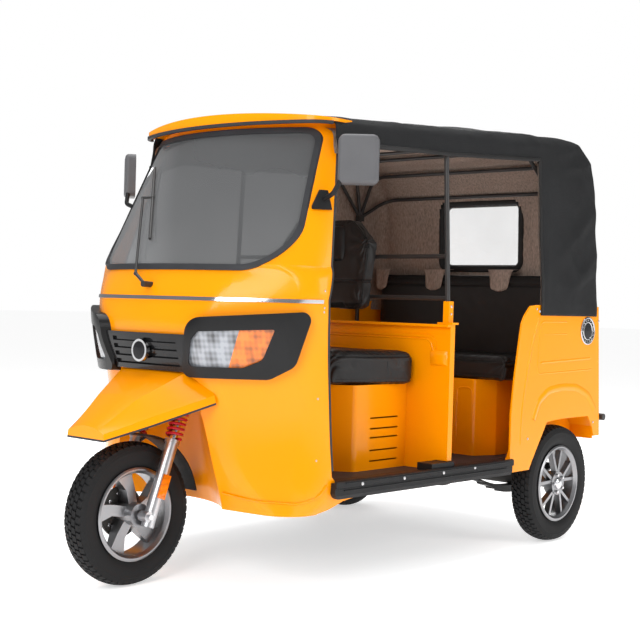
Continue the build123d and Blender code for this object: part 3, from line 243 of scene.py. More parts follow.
def rubber(name, colour, rough=0.62):
    """Rubber with a chalky bloom in clouds and a fine grain."""
    f = Finish(name)
    chalk = f.noise(14, 5, rough=0.7)
    f.shader.inputs["Specular IOR Level"].default_value = 0.2
    return f.surface(
        Base_Color=f.blend(f.range(chalk, -0.3, 1.0).clamp(), colour, shade(colour, 1.4, 0.002)),
        Roughness=f.range(chalk, rough - 0.1, rough + 0.15),
        Normal=f.relief(f.noise(420, 3), 0.0002),
    )


def metal(name, colour, rough):
    """Bare metal: fine unevenness in its sheen, and a few darker patches."""
    f = Finish(name)
    wear = f.noise(160, 4)
    patch = f.noise(9, 2)
    f.shader.inputs["Metallic"].default_value = 1.0
    return f.surface(
        Base_Color=f.blend(patch, shade(colour, 0.86), colour),
        Roughness=f.range(wear, rough * 0.85, rough * 1.25),
        Normal=f.relief(wear, 0.00002),
    )


def black_paint(name):
    """Brushed-on black frame paint over tube."""
    f = Finish(name)
    worn = f.noise(30, 6, rough=0.7)
    return f.surface(
        Base_Color=f.blend(worn, (0.012, 0.012, 0.013), (0.03, 0.028, 0.027)),
        Roughness=f.range(worn, 0.28, 0.5),
        Normal=f.relief(f.noise(300, 2), 0.00015),
    )


def iron(name):
    """Dark iron under road grime."""
    f = Finish(name)
    grime = f.noise(18, 7, rough=0.75)
    f.shader.inputs["Metallic"].default_value = 0.3
    return f.surface(
        Base_Color=f.blend(grime, (0.02, 0.02, 0.021), (0.075, 0.068, 0.06)),
        Roughness=f.range(grime, 0.5, 0.8),
        Normal=f.relief(f.noise(260, 4), 0.0006),
    )


def vinyl(name, colour):
    """Grained upholstery vinyl with soft creases."""
    f = Finish(name)
    grain = f.cells(420, "SMOOTH_F1")
    crease = f.noise(6, 5, rough=0.6)
    f.shader.inputs["Specular IOR Level"].default_value = 0.3
    return f.surface(
        Base_Color=f.blend(crease, colour, shade(colour, 1.6, 0.002)),
        Roughness=f.range(crease, 0.32, 0.48),
        Normal=f.relief(grain * 0.6 + crease * 0.4, 0.0009),
    )


def coated_cloth(name, colour):
    """Coated hood cloth: a fine square weave under the coating, rubbed paler on the high parts."""
    f = Finish(name)
    weave = sum(f.thread(letter, 2600).size() for letter in "XYZ")
    rub = f.noise(3.2, 5, rough=0.6)
    f.shader.inputs["Specular IOR Level"].default_value = 0.25
    return f.surface(
        Base_Color=f.blend(f.range(rub, -0.4, 1.2).clamp(), colour, shade(colour, 1.75, 0.002)),
        Roughness=f.range(f.noise(7, 4), 0.55, 0.78),
        Normal=f.relief(weave * 0.2 + f.noise(34, 5) * 0.9, 0.0013),
    )


def woven(name, colour):
    """Coarse woven lining: crossed threads with slubs, and darker clouds where it is handled."""
    f = Finish(name)
    threads = f.thread("X", 1500) * f.thread("Z", 1500) + f.thread("Y", 1500) * 0.5
    slub = f.noise(150, 3, stretch=(1, 1, 0.35))
    handled = f.blend(f.noise(4, 4), shade(colour, 0.45), colour)
    return f.surface(
        Base_Color=f.blend(f.range(slub, -0.6, 1.6).clamp(), handled, shade(colour, 1.5)),
        Roughness=f.range(slub, 0.8, 0.95),
        Normal=f.relief(threads * 0.3 + slub, 0.0012),
    )


def glass(name, colour, cover):
    """A pane with a film of dust and a slanting band painted paler as a reflection; cover is its alpha at
    foot and head.
    """
    f = Finish(name)
    film = f.noise(5, 4)
    height = ((f.axis("Z") - 1.1) / 0.6).clamp()
    # Painted reflection: a slanting band across the pane is painted paler, the rest darker.
    painted_reflection_band = ((f.axis("X") * 1.6 + f.axis("Z") * 0.9 - 0.75) * 2.2).clamp()
    f.shader.inputs["Specular IOR Level"].default_value = 0.8
    return f.surface(
        Base_Color=f.blend(painted_reflection_band, shade(colour, 1.5), shade(colour, 0.72)),
        Roughness=f.range(film, 0.02, 0.07),
        Alpha=f.range(height, *cover) + film * 0.08,
    )


def lens(name, colour, facets=55, deep=0.25):
    """A moulded lamp lens: optic facets under a clear coat, with painted glints and painted shade in their
    colour; deep is how dark the painted shade gets.
    """
    f = Finish(name)
    facet = f.cells(facets, "F1", (1, 0.3, 0.7))
    flutes = f.thread("X", 420) * 0.5 + f.thread("Z", 300) * 0.5
    # Painted glints and shade: each facet's colour is dark at its middle and bright towards its edges, with
    # the flutes' ripple added.
    bright = f.range(facet * 1.3 + flutes * 0.25, 0, 1).clamp()
    f.shader.inputs["Coat Weight"].default_value = 0.8
    return f.surface(
        Base_Color=f.blend(bright, shade(colour, deep), colour),
        Roughness=f.range(f.noise(40, 2), 0.04, 0.1),
        Alpha=f.range(f.noise(20, 2), 0.89, 0.92),
        Normal=f.relief(facet + flutes * 0.3, 0.0007),
    )


# ---------------------------------------------------------------- shapes
def round_turns(count, start=0.0):
    """Even turns all the way round, in radians; start is in steps."""
    return [math.tau * (k + start) / count for k in range(count)]


def ring(middle, radius, turn):
    """A point on a circle round the X axis."""
    return middle + Vector((0, radius * math.cos(turn), radius * math.sin(turn)))


class Shape:
    """Points and faces gathered into one mesh."""

    def __init__(self):
        self.points = []
        self.faces = []

    def add(self, points, faces):
        """Points, and faces as places in that list."""
        first = len(self.points)
        self.points += [Vector(p) for p in points]
        self.faces += [[first + i for i in face] for face in faces]

    def grid(self, rows, wrap=False, closed=False):
        """A skin over rows of points; wrap joins a row's ends, and closed the last row to the first."""
        wide, tall = len(rows[0]), len(rows)
        faces = []
        for i in range(tall if closed else tall - 1):
            for j in range(wide if wrap else wide - 1):
                k, m = (i + 1) % tall, (j + 1) % wide
                faces.append((i * wide + j, i * wide + m, k * wide + m, k * wide + j))
        self.add([p for row in rows for p in row], faces)

    def tube(self, path, radius, sides=10, flat=1.0, upright=Vector((0, 0, 1)), closed=False):
        """A round or flattened bead along a path, with capped ends."""
        path = [Vector(p) for p in path]
        count = len(path)
        rows = []
        for i, point in enumerate(path):
            after = path[(i + 1) % count] if closed or i + 1 < count else point
            before = path[i - 1] if closed or i else point
            along = (after - before).normalized()
            across = along.cross(upright)
            across = (across if across.length > 0.05 else along.cross(Vector((1, 0, 0)))).normalized()
            out = across.cross(along)
            rows.append([point + across * (radius * math.cos(t)) + out * (radius * flat * math.sin(t))
                         for t in round_turns(sides)])
        if closed:
            self.grid(rows, wrap=True, closed=True)
        else:
            self.capped(rows)

    def capped(self, rows):
        """Rings of points joined into a skin, with a face over each end."""
        first, sides = len(self.points), len(rows[0])
        self.grid(rows, wrap=True)
        self.faces.append([first + k for k in range(sides)][::-1])
        self.faces.append([first + (len(rows) - 1) * sides + k for k in range(sides)])

    def turned(self, centre, axis, outline, sides):
        """A form turned about an axis; the outline lists distance along the axis and radius."""
        spin = Vector(axis).to_track_quat("Z", "Y").to_matrix().to_4x4()
        where = Matrix.Translation(centre) @ spin
        self.capped([[where @ Vector((r * math.cos(t), r * math.sin(t), along)) for t in round_turns(sides)]
                     for along, r in outline])

    def mesh(self, name, crease=35):
        """The finished mesh, smooth where it bends less than crease degrees."""
        made = bpy.data.meshes.new(name)
        made.from_pydata(self.points, [], self.faces)
        made.validate()
        work = bmesh.new()
        work.from_mesh(made)
        bmesh.ops.recalc_face_normals(work, faces=work.faces)
        for edge in work.edges:
            edge.smooth = edge.is_boundary or edge.calc_face_angle(0) < math.radians(crease)
        for face in work.faces:
            face.smooth = True
        work.to_mesh(made)
        work.free()
        return made


# ---------------------------------------------------------------- placing pieces
def dress(finish, *names):
    """Gives CAD nodes a finish."""
    for name in names:
        slots = NODES[name].data.materials
        slots.clear()
        slots.append(finish)


def new_object(name, mesh, finish, body):
    """A new piece of the object that moves with a body."""
    made = bpy.data.objects.new(name, mesh)
    bpy.context.scene.collection.objects.link(made)
    mesh.materials.clear()
    mesh.materials.append(finish)
    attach(made, body)
    return made


def colours():
    """The finishes' colours as set in the panel."""
    return bpy.context.scene.rickshaw_colours


def extent(node):
    """The low and the high corner of a node's box."""
    corners = [Vector(c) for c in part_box(node)]
    return (Vector([min(c[i] for c in corners) for i in range(3)]),
            Vector([max(c[i] for c in corners) for i in range(3)]))


def middle_of(node):
    """The middle of a node's box."""
    low, high = extent(node)
    return (low + high) / 2


# ---------------------------------------------------------------- hood cloth
HOOD_STEP = 0.0125             # size of the cloth mesh's cells
HOOD_BASE_Z = 1.012
HOOD_FRONT_Y = -0.53
HOOD_BACK_Y = 1.226
BACK_LEAN = 0.026              # how far the rear wall leans forwards over BACK_RISE
BACK_RISE = 0.734
LEAN_REACH = 0.35              # length of the roof over which the lean fades out
CURTAIN_Y = 0.702              # front edge of the side curtains
BELT_HALF_W = 0.657            # half width over the belt line, at BELT_Z
BELT_Z = 1.062
SHOULDER_HALF_W = 0.62
WINDOW_MIDDLE_Z = 1.397
WINDOW_HALF = (0.222, 0.151)
WINDOW_R = 0.04
HOOD_MIDDLE = Vector((0, 0.4, 1.4))
# Lower edge of the side flaps: y and height.
FLAP_EDGE = ((-0.53, 1.588), (-0.44, 1.592), (-0.33, 1.632), (0.1, 1.648), (0.702, 1.69))
# Shapes of the cloth and of its lining: y, half width at the shoulder, shoulder height, crown height.
CLOTH_ROWS = ((-0.53, 0.508, 1.722, 1.758), (0.07, 0.584, 1.752, 1.802),
              (0.70, 0.616, 1.796, 1.848), (1.30, 0.620, 1.816, 1.872))
LINING_ROWS = ((-0.53, 0.494, 1.690, 1.700), (0.074, 0.572, 1.724, 1.730),
               (0.64, 0.603, 1.772, 1.778), (1.30, 0.606, 1.772, 1.778))
# Creases of the outer cloth: start, end, half width and height; each is mirrored.
CREASES = (
    ((0.66, 0.86, 1.27), (0.64, 1.17, 1.50), 0.050, 0.016),
    ((0.66, 0.90, 1.31), (0.65, 1.01, 1.18), 0.040, 0.010),
    ((0.65, 1.01, 1.18), (0.64, 1.20, 1.30), 0.045, 0.013),
    ((0.65, 0.93, 1.12), (0.65, 1.20, 1.24), 0.040, 0.008),
    ((0.65, 0.74, 1.10), (0.64, 0.78, 1.64), 0.034, 0.006),
    ((0.62, 0.86, 1.72), (0.60, 1.10, 1.80), 0.034, 0.011),
    ((0.63, 0.90, 1.66), (0.62, 1.17, 1.72), 0.040, 0.010),
    ((0.63, 1.02, 1.70), (0.64, 1.19, 1.56), 0.036, 0.010),
    ((0.62, 0.40, 1.72), (0.61, 0.70, 1.75), 0.030, 0.006),
    ((0.58, -0.10, 1.72), (0.56, 0.16, 1.70), 0.034, 0.006),
    ((0.30, 1.21, 1.62), (0.62, 1.20, 1.46), 0.050, 0.010),
    ((0.45, 1.22, 1.10), (0.62, 1.21, 1.34), 0.050, 0.009),
    ((0.05, 1.22, 1.10), (0.30, 1.21, 1.20), 0.045, 0.006),
    ((0.30, 0.20, 1.80), (0.52, 0.52, 1.79), 0.050, 0.006),
)
# Creases of the lining, which sags in folds that fan out from the bows' pivots.
LINING_CREASES = (
    ((0.60, 0.95, 1.47), (0.60, 0.72, 1.60), 0.030, 0.012),
    ((0.60, 0.95, 1.47), (0.60, 0.80, 1.68), 0.026, 0.010),
    ((0.60, 0.97, 1.46), (0.58, 1.12, 1.58), 0.030, 0.012),
    ((0.60, 0.97, 1.44), (0.58, 1.18, 1.46), 0.030, 0.010),
    ((0.60, 0.94, 1.42), (0.60, 0.74, 1.36), 0.034, 0.012),
    ((0.60, 0.96, 1.40), (0.58, 1.16, 1.22), 0.034, 0.012),
    ((0.60, 0.93, 1.38), (0.60, 0.90, 1.10), 0.034, 0.010),
    ((0.40, 0.70, 1.76), (0.20, 0.84, 1.76), 0.050, 0.010),
    ((0.30, 0.10, 1.73), (0.10, 0.50, 1.76), 0.060, 0.010),
    ((0.45, -0.25, 1.71), (0.20, 0.00, 1.73), 0.050, 0.009),
)


def between(table, along):
    """Straight-line value of a table's other columns where its first column is along."""
    rows = list(table)
    for low, high in zip(rows, rows[1:]):
        if along <= high[0] or high is rows[-1]:
            share = min(max((along - low[0]) / (high[0] - low[0]), 0), 1)
            return [a + (b - a) * share for a, b in zip(low[1:], high[1:])]


def stations(start, end, step):
    """Even places from start to end, about step apart."""
    count = max(1, round(abs(end - start) / step))
    return [start + (end - start) * i / count for i in range(count + 1)]


class HoodForm:
    """Cloth over a rounded box: a band over the roof and down the back, and two sides."""

    def __init__(self, rows, top_z, back_y, back_r, inset):
        self.rows = rows           # y, half width at the shoulder, shoulder height, crown height
        self.top_z = top_z
        self.back_y = back_y
        self.back_r = back_r       # round of the roof into the back
        self.edge_r = 0.05         # round of the shoulders and rear corners
        self.inset = inset

    def flatten(self, y, z):
        """The height in the box that ends up at z."""
        shoulder = between(self.rows, y)[1]
        return HOOD_BASE_Z + (z - HOOD_BASE_Z) * (self.top_z - HOOD_BASE_Z) / (shoulder - HOOD_BASE_Z)

    def place(self, across, y, z):
        """A point of the cloth from its place on the box; across runs from -1 to 1."""
        half, shoulder, crown = between(self.rows, y)
        low_y, low_z = min(y, self.back_y - self.back_r), min(z, self.top_z - self.back_r)
        out = Vector((y - low_y, z - low_z))
        depth = min(self.back_y - y, self.top_z - z)
        if out.length > 0:
            out = out.normalized() * max(out)
        spot = Vector((low_y, low_z)) + out
        lean = min(max((spot.y - BELT_Z) / (shoulder - BELT_Z), 0), 1)
        wide = BELT_HALF_W - self.inset + (half - BELT_HALF_W + self.inset) * lean
        side = (1 - abs(across)) * wide
        if side < self.edge_r and depth < self.edge_r:
            a, b = self.edge_r - side, self.edge_r - depth
            pull = max(a, b) / math.hypot(a, b)
            side = self.edge_r - a * pull
            if out.length > 0:
                spot -= out.normalized() * (self.edge_r - b * pull - depth)
        x = math.copysign(wide - side, across)
        rise = min(max((spot.y - (self.top_z - self.back_r)) / self.back_r, 0), 1)
        height = HOOD_BASE_Z + (spot.y - HOOD_BASE_Z) * (shoulder - HOOD_BASE_Z) / (self.top_z - HOOD_BASE_Z)
        height += (crown - shoulder) * (1 - (x / wide) ** 2) * rise
        back = BACK_LEAN * lean * min(max((spot.x - self.back_y + LEAN_REACH) / LEAN_REACH, 0), 1)
        return Vector((x, spot.x - back, height))

    def build(self):
        """The cloth as a bmesh, and the points of its hem along one side."""
        work = bmesh.new()
        points = {}

        def point(across, y, z):
            key = (round(across, 5), round(y, 5), round(z, 5))
            if key not in points:
                points[key] = work.verts.new(self.place(across, y, z))
            return points[key]

        def skin(rows):
            for low, high in zip(rows, rows[1:]):
                for a, b, c, d in zip(low, low[1:], high[1:], high):
                    work.faces.new((point(*a), point(*b), point(*c), point(*d)))

        def hem_z(y):
            return self.flatten(y, between(FLAP_EDGE, y)[0])

        edge_z = hem_z(CURTAIN_Y)
        front = stations(HOOD_FRONT_Y, CURTAIN_Y, HOOD_STEP)
        rear = stations(CURTAIN_Y, self.back_y, HOOD_STEP)
        upper = stations(self.top_z, edge_z, HOOD_STEP)
        lower = stations(edge_z, HOOD_BASE_Z, HOOD_STEP)
        columns = stations(-1, 1, HOOD_STEP / SHOULDER_HALF_W)
        skin([[(a, y, self.top_z) for a in columns] for y in front + rear[1:]])
        skin([[(a, self.back_y, z) for a in columns] for z in upper + lower[1:]])
        for side in (-1, 1):
            skin([[(side, y, self.top_z + (hem_z(y) - self.top_z) * k / (len(upper) - 1))
                   for k in range(len(upper))] for y in front])
            skin([[(side, y, z) for z in upper + lower[1:]] for y in rear])
        bmesh.ops.recalc_face_normals(work, faces=work.faces)
        hem = [point(1, y, hem_z(y)) for y in front]
        hem += [point(1, CURTAIN_Y, z) for z in lower[1:]]
        return work, hem


def fold_height(spot, start, end, wide, high):
    """How far one crease lifts the cloth at a point."""
    start, end = Vector(start), Vector(end)
    span = end - start
    share = min(max((spot - start).dot(span) / span.length_squared, 0), 1)
    away = (spot - start - span * share).length / (wide * 1.6)
    fade = 0.35 + 0.65 * math.sin(math.pi * min(max(share, 0.06), 0.94))
    return high * fade * max(1 - away, 0) ** 2


def drape(work, creases, rumple, sag):
    """Moves the cloth out along its creases, in with the sag between bows, and rumples it."""
    work.normal_update()
    moves = []
    for vert in work.verts:
        spot = Vector((abs(vert.co.x), vert.co.y, vert.co.z))
        move = rumple * noise.noise(spot * 5.5 + Vector((vert.co.x, 3, 7)))
        move += rumple * 0.5 * noise.noise(vert.co * 17)
        move += sum(fold_height(spot, *crease) for crease in creases)
        normal = vert.normal if vert.normal.dot(vert.co - HOOD_MIDDLE) > 0 else -vert.normal
        if normal.z > 0.6:
            move -= sag(vert.co.y) * (1 - (vert.co.x / BELT_HALF_W) ** 2)
        moves.append(normal * move)
    for vert, move in zip(work.verts, moves):
        vert.co += move


def sag_between(depth, first, spacing):
    """The roof's sag along the vehicle: none at the bows, depth twice over halfway between."""
    return lambda y: depth * (1 - math.cos(math.tau * (y - first) / spacing))


def cut_window(work, grow):
    """Opens the rear window, a little wider than its frame's middle line."""
    gone = []
    for face in work.faces:
        spot = face.calc_center_median()
        dx = max(abs(spot.x) - (WINDOW_HALF[0] + grow - WINDOW_R), 0)
        dz = max(abs(spot.z - WINDOW_MIDDLE_Z) - (WINDOW_HALF[1] + grow - WINDOW_R), 0)
        if spot.y > 1.0 and math.hypot(dx, dz) < WINDOW_R:
            gone.append(face)
    bmesh.ops.delete(work, geom=gone, context="FACES")


def cloth_mesh(name, work):
    """A smooth mesh from a bmesh, which is freed."""
    made = bpy.data.meshes.new(name)
    for face in work.faces:
        face.smooth = True
    work.to_mesh(made)
    work.free()
    return made


def thicken(piece, depth):
    """Gives a cloth its real thickness, inwards."""
    solid = piece.modifiers.new("thickness", "SOLIDIFY")
    solid.thickness = depth
    solid.offset = -1


def rounded_frame(half_w, half_h, radius, middle, steps=8):
    """Points round a rounded rectangle, as across and height."""
    points = []
    for corner, (sx, sz) in enumerate(((1, 1), (-1, 1), (-1, -1), (1, -1))):
        for k in range(steps + 1):
            turn = math.pi / 2 * (corner + k / steps)
            points.append((sx * (half_w - radius) + radius * math.cos(turn),
                           middle + sz * (half_h - radius) + radius * math.sin(turn)))
    return points


def back_face(z):
    """How far back the hood's rear wall is at a height."""
    return HOOD_BACK_Y - BACK_LEAN * (z - BELT_Z) / BACK_RISE


# ---------------------------------------------------------------- stuffed seats
CLOTH_STEPS = 20
# Gathers: corner they spread from, reach and height.
CUSHION_GATHERS = (((0.37, -0.36, 0.83), 0.16, 0.0045), ((-0.37, -0.36, 0.83), 0.16, 0.0045),
                   ((0.46, 0.03, 0.84), 0.13, 0.0035), ((-0.46, 0.03, 0.84), 0.13, 0.0035))
BENCH_GATHERS = (((0.56, 0.57, 0.80), 0.15, 0.005), ((-0.56, 0.57, 0.80), 0.15, 0.005),
                 ((0.56, 1.04, 0.81), 0.16, 0.006), ((-0.56, 1.04, 0.81), 0.16, 0.006))
BACK_GATHERS = (((0.24, -0.01, 1.30), 0.12, 0.003), ((-0.24, -0.01, 1.30), 0.12, 0.003),
                ((0.22, -0.01, 1.03), 0.10, 0.003), ((-0.22, -0.01, 1.03), 0.10, 0.003))
# Where the piping runs round each piece: a point of its plane, and the plane's normal.
UP, BACKWARDS = (0, 0, 1), (0, 1, 0)
SEAT_WELTS = {
    "driver_cushion": ((0, 0, 0.836), UP),
    "driver_backrest": ((0, 0.004, 0), BACKWARDS),
    "bench_cushion": ((0, 0, 0.806), UP),
    "bench_backrest": ((0, 1.092, 0), BACKWARDS),
}
# The padded pieces: node, how far its form is drawn in, mesh size, most swell, gathers, and sewn
# channels, each as a point, its plane's normal, half width and depth.
SEATS = (
    ("driver_cushion", 0.007, 0.007, 0.012, CUSHION_GATHERS,
     (((0, 0, 0.836), UP, 0.004, 0.004), ((0, 0, 0.742), UP, 0.004, 0.003))),
    ("driver_backrest", 0.006, 0.006, 0.011, BACK_GATHERS,
     (((0, 0, 1.135), UP, 0.005, 0.006), ((0, -0.001, 0), BACKWARDS, 0.004, 0.003))),
    ("bench_cushion", 0.007, 0.008, 0.012, BENCH_GATHERS,
     (((0, 0, 0.806), UP, 0.004, 0.004), ((0, 0, 0.742), UP, 0.004, 0.003))),
    ("bench_backrest", 0.007, 0.008, 0.012, (),
     (((0, 0, 1.150), UP, 0.006, 0.007), ((0, 1.092, 0), BACKWARDS, 0.004, 0.003))),
)
HEADREST_HALF = (0.128, 0.078)
HEADREST_Z = 1.292
# Tabs of the lining: middle and half width.
TABS = ((-0.53, 0.05), (-0.20, 0.07), (0.19, 0.073))


def stuffed(source, inset, voxel, swell):
    """A cushion as a bmesh: its solid drawn in, remeshed, blown up as cloth and capped."""
    scene = bpy.context.scene
    base = NODES[source].data.copy()
    base.transform(NODES[source].matrix_world)
    low, high = extent(source)
    middle = (low + high) / 2
    for vert in base.vertices:
        vert.co = Vector([m + (v - m) * (1 - 2 * inset / (h - b))
                          for m, v, h, b in zip(middle, vert.co, high, low)])
    piece = bpy.data.objects.new(source + "_form", base)
    scene.collection.objects.link(piece)
    remesh = piece.modifiers.new("even", "REMESH")
    remesh.mode = "VOXEL"
    remesh.voxel_size = voxel
    even = bpy.data.meshes.new_from_object(piece.evaluated_get(bpy.context.evaluated_depsgraph_get()))
    piece.modifiers.clear()
    piece.data = even
    still = [vert.co.copy() for vert in even.vertices]
    cloth = piece.modifiers.new("cloth", "CLOTH")
    cloth.settings.use_pressure = True
    cloth.settings.uniform_pressure_force = 4
    cloth.settings.quality = 4
    cloth.settings.effector_weights.gravity = 0
    cloth.collision_settings.use_self_collision = False
    for step in range(1, CLOTH_STEPS + 1):
        scene.frame_set(step)
    blown = piece.evaluated_get(bpy.context.evaluated_depsgraph_get()).to_mesh()
    places = [vert.co.copy() for vert in blown.vertices]
    piece.modifiers.clear()
    scene.frame_set(1)
    work = bmesh.new()
    work.from_mesh(even)
    for vert, start, end in zip(work.verts, still, places):
        move = end - start
        vert.co = start + (move if move.length < swell else move.normalized() * swell)
        vert.co.z = max(vert.co.z, low.z + 0.0005)
    bpy.data.objects.remove(piece)
    bmesh.ops.subdivide_edges(work, edges=work.edges, cuts=1, use_grid_fill=True, smooth=0.5)
    return work


def gather_height(spot, corner, reach, high):
    """How far the gathers that fan out from a corner lift the cover at a point."""
    away = spot - Vector(corner)
    near = 1 - away.length / reach
    if near <= 0:
        return 0
    turn = math.atan2(away.y, away.x) + math.atan2(away.z, math.hypot(away.x, away.y))
    wave = math.sin(9 * turn + 3 * noise.noise(spot * 9))
    return high * near * min(near * 3, 1) * (abs(wave) ** 0.6 * math.copysign(1, wave) - 0.2)


def sew(work, gathers, grooves):
    """Gathers at the corners, and sewn channels: a plane's point and normal, half width and depth."""
    work.normal_update()
    moves = []
    for vert in work.verts:
        move = 0.0012 * noise.noise(vert.co * 22) + 0.002 * noise.noise(vert.co * 7)
        move += sum(gather_height(vert.co, *gather) for gather in gathers)
        for point, facing, wide, deep in grooves:
            away = abs((vert.co - Vector(point)).dot(Vector(facing)))
            if away < wide * 3 and abs(vert.normal.dot(Vector(facing))) < 0.8:
                move -= deep * math.exp(-(away / wide) ** 2)
        moves.append(vert.normal * move)
    for vert, move in zip(work.verts, moves):
        vert.co += move


def girth(work, point, facing, lift):
    """The cushion's outline where a plane cuts it, moved out by lift, in order round it."""
    cut = work.copy()
    made = bmesh.ops.bisect_plane(cut, geom=cut.verts[:] + cut.edges[:] + cut.faces[:],
                                  plane_co=point, plane_no=facing)
    spots = [part.co.copy() for part in made["geom_cut"] if isinstance(part, bmesh.types.BMVert)]
    cut.free()
    middle = sum(spots, Vector()) / len(spots)
    facing = Vector(facing)
    across = facing.orthogonal().normalized()
    up = facing.cross(across)
    spots.sort(key=lambda p: math.atan2((p - middle).dot(up), (p - middle).dot(across)))
    kept = spots[:1]
    for spot in spots[1:]:
        if (spot - kept[-1]).length > 0.006:
            kept.append(spot)
    return [p + (p - middle).normalized() * lift for p in kept]


# ---------------------------------------------------------------- tyres
TYRE_R = 0.26
TREAD_HALF_W = 0.043
TREAD_DEPTH = 0.007
# Rows of tread blocks: inner and outer edge across the tyre, and share of the pitch that is turned on.
TREAD_ROWS = ((-0.043, -0.028, 0.0), (-0.025, -0.010, 0.5), (-0.007, 0.007, 0.15),
              (0.010, 0.025, 0.65), (0.028, 0.043, 0.3))
TREAD_PITCHES = 56
# Half of the tyre's section under the tread, from the bead to the middle: distance across and radius.
TYRE_SECTION = ((0.034, 0.1625), (0.042, 0.178), (0.0462, 0.188), (0.0468, 0.190), (0.0478, 0.192),
                (0.0494, 0.206), (0.0500, 0.216), (0.0496, 0.224), (0.0502, 0.227), (0.0488, 0.230),
                (0.0470, 0.238), (0.0440, 0.2440), (0.0330, 0.2480), (0.0150, 0.2520), (0.0, 0.2530))
# Corners of a shoulder lug: distance across and radius.
LUG_CORNERS = ((0.0425, 0.2485), (0.0485, 0.2350), (0.0400, 0.2460), (0.0460, 0.2330))
# Turned outlines of the hubs' parts: distance along the axle and radius.
DRUM_OUTLINE = ((0, 0.044), (0, 0.088), (0.004, 0.094), (0.014, 0.094), (0.019, 0.086), (0.019, 0.05))
STUD_OUTLINE = ((-0.001, 0.0065), (0.0022, 0.0065), (0.0028, 0.0055), (0.0028, 0.003))
HUB_NUT_OUTLINE = ((0, 0.005), (0.004, 0.005), (0.005, 0.004))
HUB_CAP_OUTLINE = ((0, 0.026), (0.006, 0.0255), (0.011, 0.019), (0.0125, 0.008))
WHEEL_NUT_OUTLINE = ((-0.001, 0.0078), (0.008, 0.0078), (0.0095, 0.006))


def crown(across):
    """The tread's radius at a distance from the tyre's middle."""
    return TYRE_R - 0.010 * (across / TREAD_HALF_W) ** 2


def tyre_shape():
    """A tyre round the X axis: walls with ribs, and rows of tread blocks with shoulder lugs."""
    shape = Shape()
    section = [*TYRE_SECTION, *((-x, r) for x, r in TYRE_SECTION[-2::-1])]
    shape.grid([[(x, r * math.cos(t), r * math.sin(t)) for x, r in section]
                for t in round_turns(2 * TREAD_PITCHES)], closed=True)
    pitch = math.tau / TREAD_PITCHES
    for inner, outer, shift in TREAD_ROWS:
        for start in round_turns(TREAD_PITCHES, shift):
            block(shape, inner, outer, start, start + pitch * 0.74, pitch * 0.16)
    for side in (-1, 1):
        for start in round_turns(TREAD_PITCHES, 0.3 * side):
            lug(shape, side, start, start + pitch * 0.6)
    return shape


def block(shape, inner, outer, start, end, skew):
    """One tread block with drafted sides; skew turns its outer edge on."""
    corners = []
    for level, grow in ((-TREAD_DEPTH - 0.002, 0.0012), (0, 0)):
        for x, lead in ((inner - grow, 0), (outer + grow, skew)):
            for turn in (start + lead - grow * 4, end + lead + grow * 4):
                r = crown(x) + level
                corners.append((x, r * math.cos(turn), r * math.sin(turn)))
    shape.add(corners, [(4, 5, 7, 6), (0, 1, 5, 4), (2, 3, 7, 6), (0, 2, 6, 4), (1, 3, 7, 5)])


def lug(shape, side, start, end):
    """One low rib over the tyre's shoulder."""
    corners = []
    for x, r in LUG_CORNERS:
        for turn in (start, end):
            corners.append((side * x, r * math.cos(turn), r * math.sin(turn)))
    shape.add(corners, [(0, 1, 3, 2), (0, 2, 6, 4), (1, 3, 7, 5), (0, 1, 5, 4), (2, 3, 7, 6)])


# ---------------------------------------------------------------- small details
PANEL_X = 0.650                # outside of the rear side panels
MIRROR_TOE = math.radians(38)
MIRROR_MIDDLE = (0.632, -0.548, 1.556)
MIRROR_FACE = 0.0232           # from the mirror's middle to its pane
MIRROR_HALF = (0.064, 0.080)
BADGE_MIDDLE = Vector((PANEL_X, 1.115, 0.945))
BADGE_R = 0.060
# Pressed lines of a rear side panel: half width, flatness, and corners as y and height.
PANEL_BEADS = (
    (0.004, 0.6, ((0.93, 0.986), (0.704, 0.986), (0.684, 0.757), (1.165, 0.767))),
    (0.003, 0.6, ((0.741, 0.929), (0.931, 0.931))),
    (0.006, 0.6, ((0.714, 0.806), (1.148, 0.819))),
    (0.018, 0.28, ((0.664, 0.560), (0.706, 0.640), (0.79, 0.684), (0.90, 0.694), (1.03, 0.688),
                   (1.14, 0.650), (1.205, 0.580))),
    (0.008, 0.45, ((0.690, 1.000), (0.640, 0.900), (0.599, 0.743), (0.571, 0.602), (0.566, 0.460))),
)
# Pressed lines that face forwards: how far back they are, and corners as half width and height.
FRONT_BEADS = (
    (0.0615, ((0.0, 0.907), (0.527, 0.907), (0.545, 0.85))),
    (0.5735, ((0.309, 0.44), (0.309, 0.683), (0.389, 0.685), (0.395, 0.44))),
)
# The raised wedge at each outer top corner of the partition: its front face, then its foot on the wall.
WEDGE = ((0.540, 0.050, 0.850), (0.598, 0.050, 0.852), (0.598, 0.050, 0.812), (0.540, 0.050, 0.808),
         (0.528, 0.062, 0.861), (0.612, 0.062, 0.863), (0.614, 0.062, 0.804), (0.531, 0.062, 0.799))
CORNER_REACH = 0.03            # how far from a corner a pressed line begins to turn
COWL_MIDDLE = Vector((0, -0.30, 0))
# The fold above the cowl's lower lip: degrees round from the nose, and height.
COWL_FOLD = ((26, 0.352), (41, 0.333), (52, 0.329), (58, 0.348), (61, 0.392))
# Screws of the sockets and rear panels, which face sideways and are mirrored: place and radius.
SCREWS = (
    ((0.617, 0.074, 1.040), 0.006), ((0.617, 0.074, 1.010), 0.005), ((0.652, 0.690, 1.030), 0.007),
    ((0.652, 0.620, 0.480), 0.005), ((0.652, 1.190, 0.520), 0.005), ((0.652, 1.215, 0.990), 0.005),
    ((0.652, 0.665, 1.040), 0.005),
)
# Outlines of a screw's and a rivet's head: distance out, and share of its radius.
SCREW_HEAD = ((-0.002, 1), (0.0012, 1), (0.0026, 0.7), (0.003, 0.3))
RIVET_HEAD = ((-0.003, 1), (0.001, 1), (0.002, 0.6))
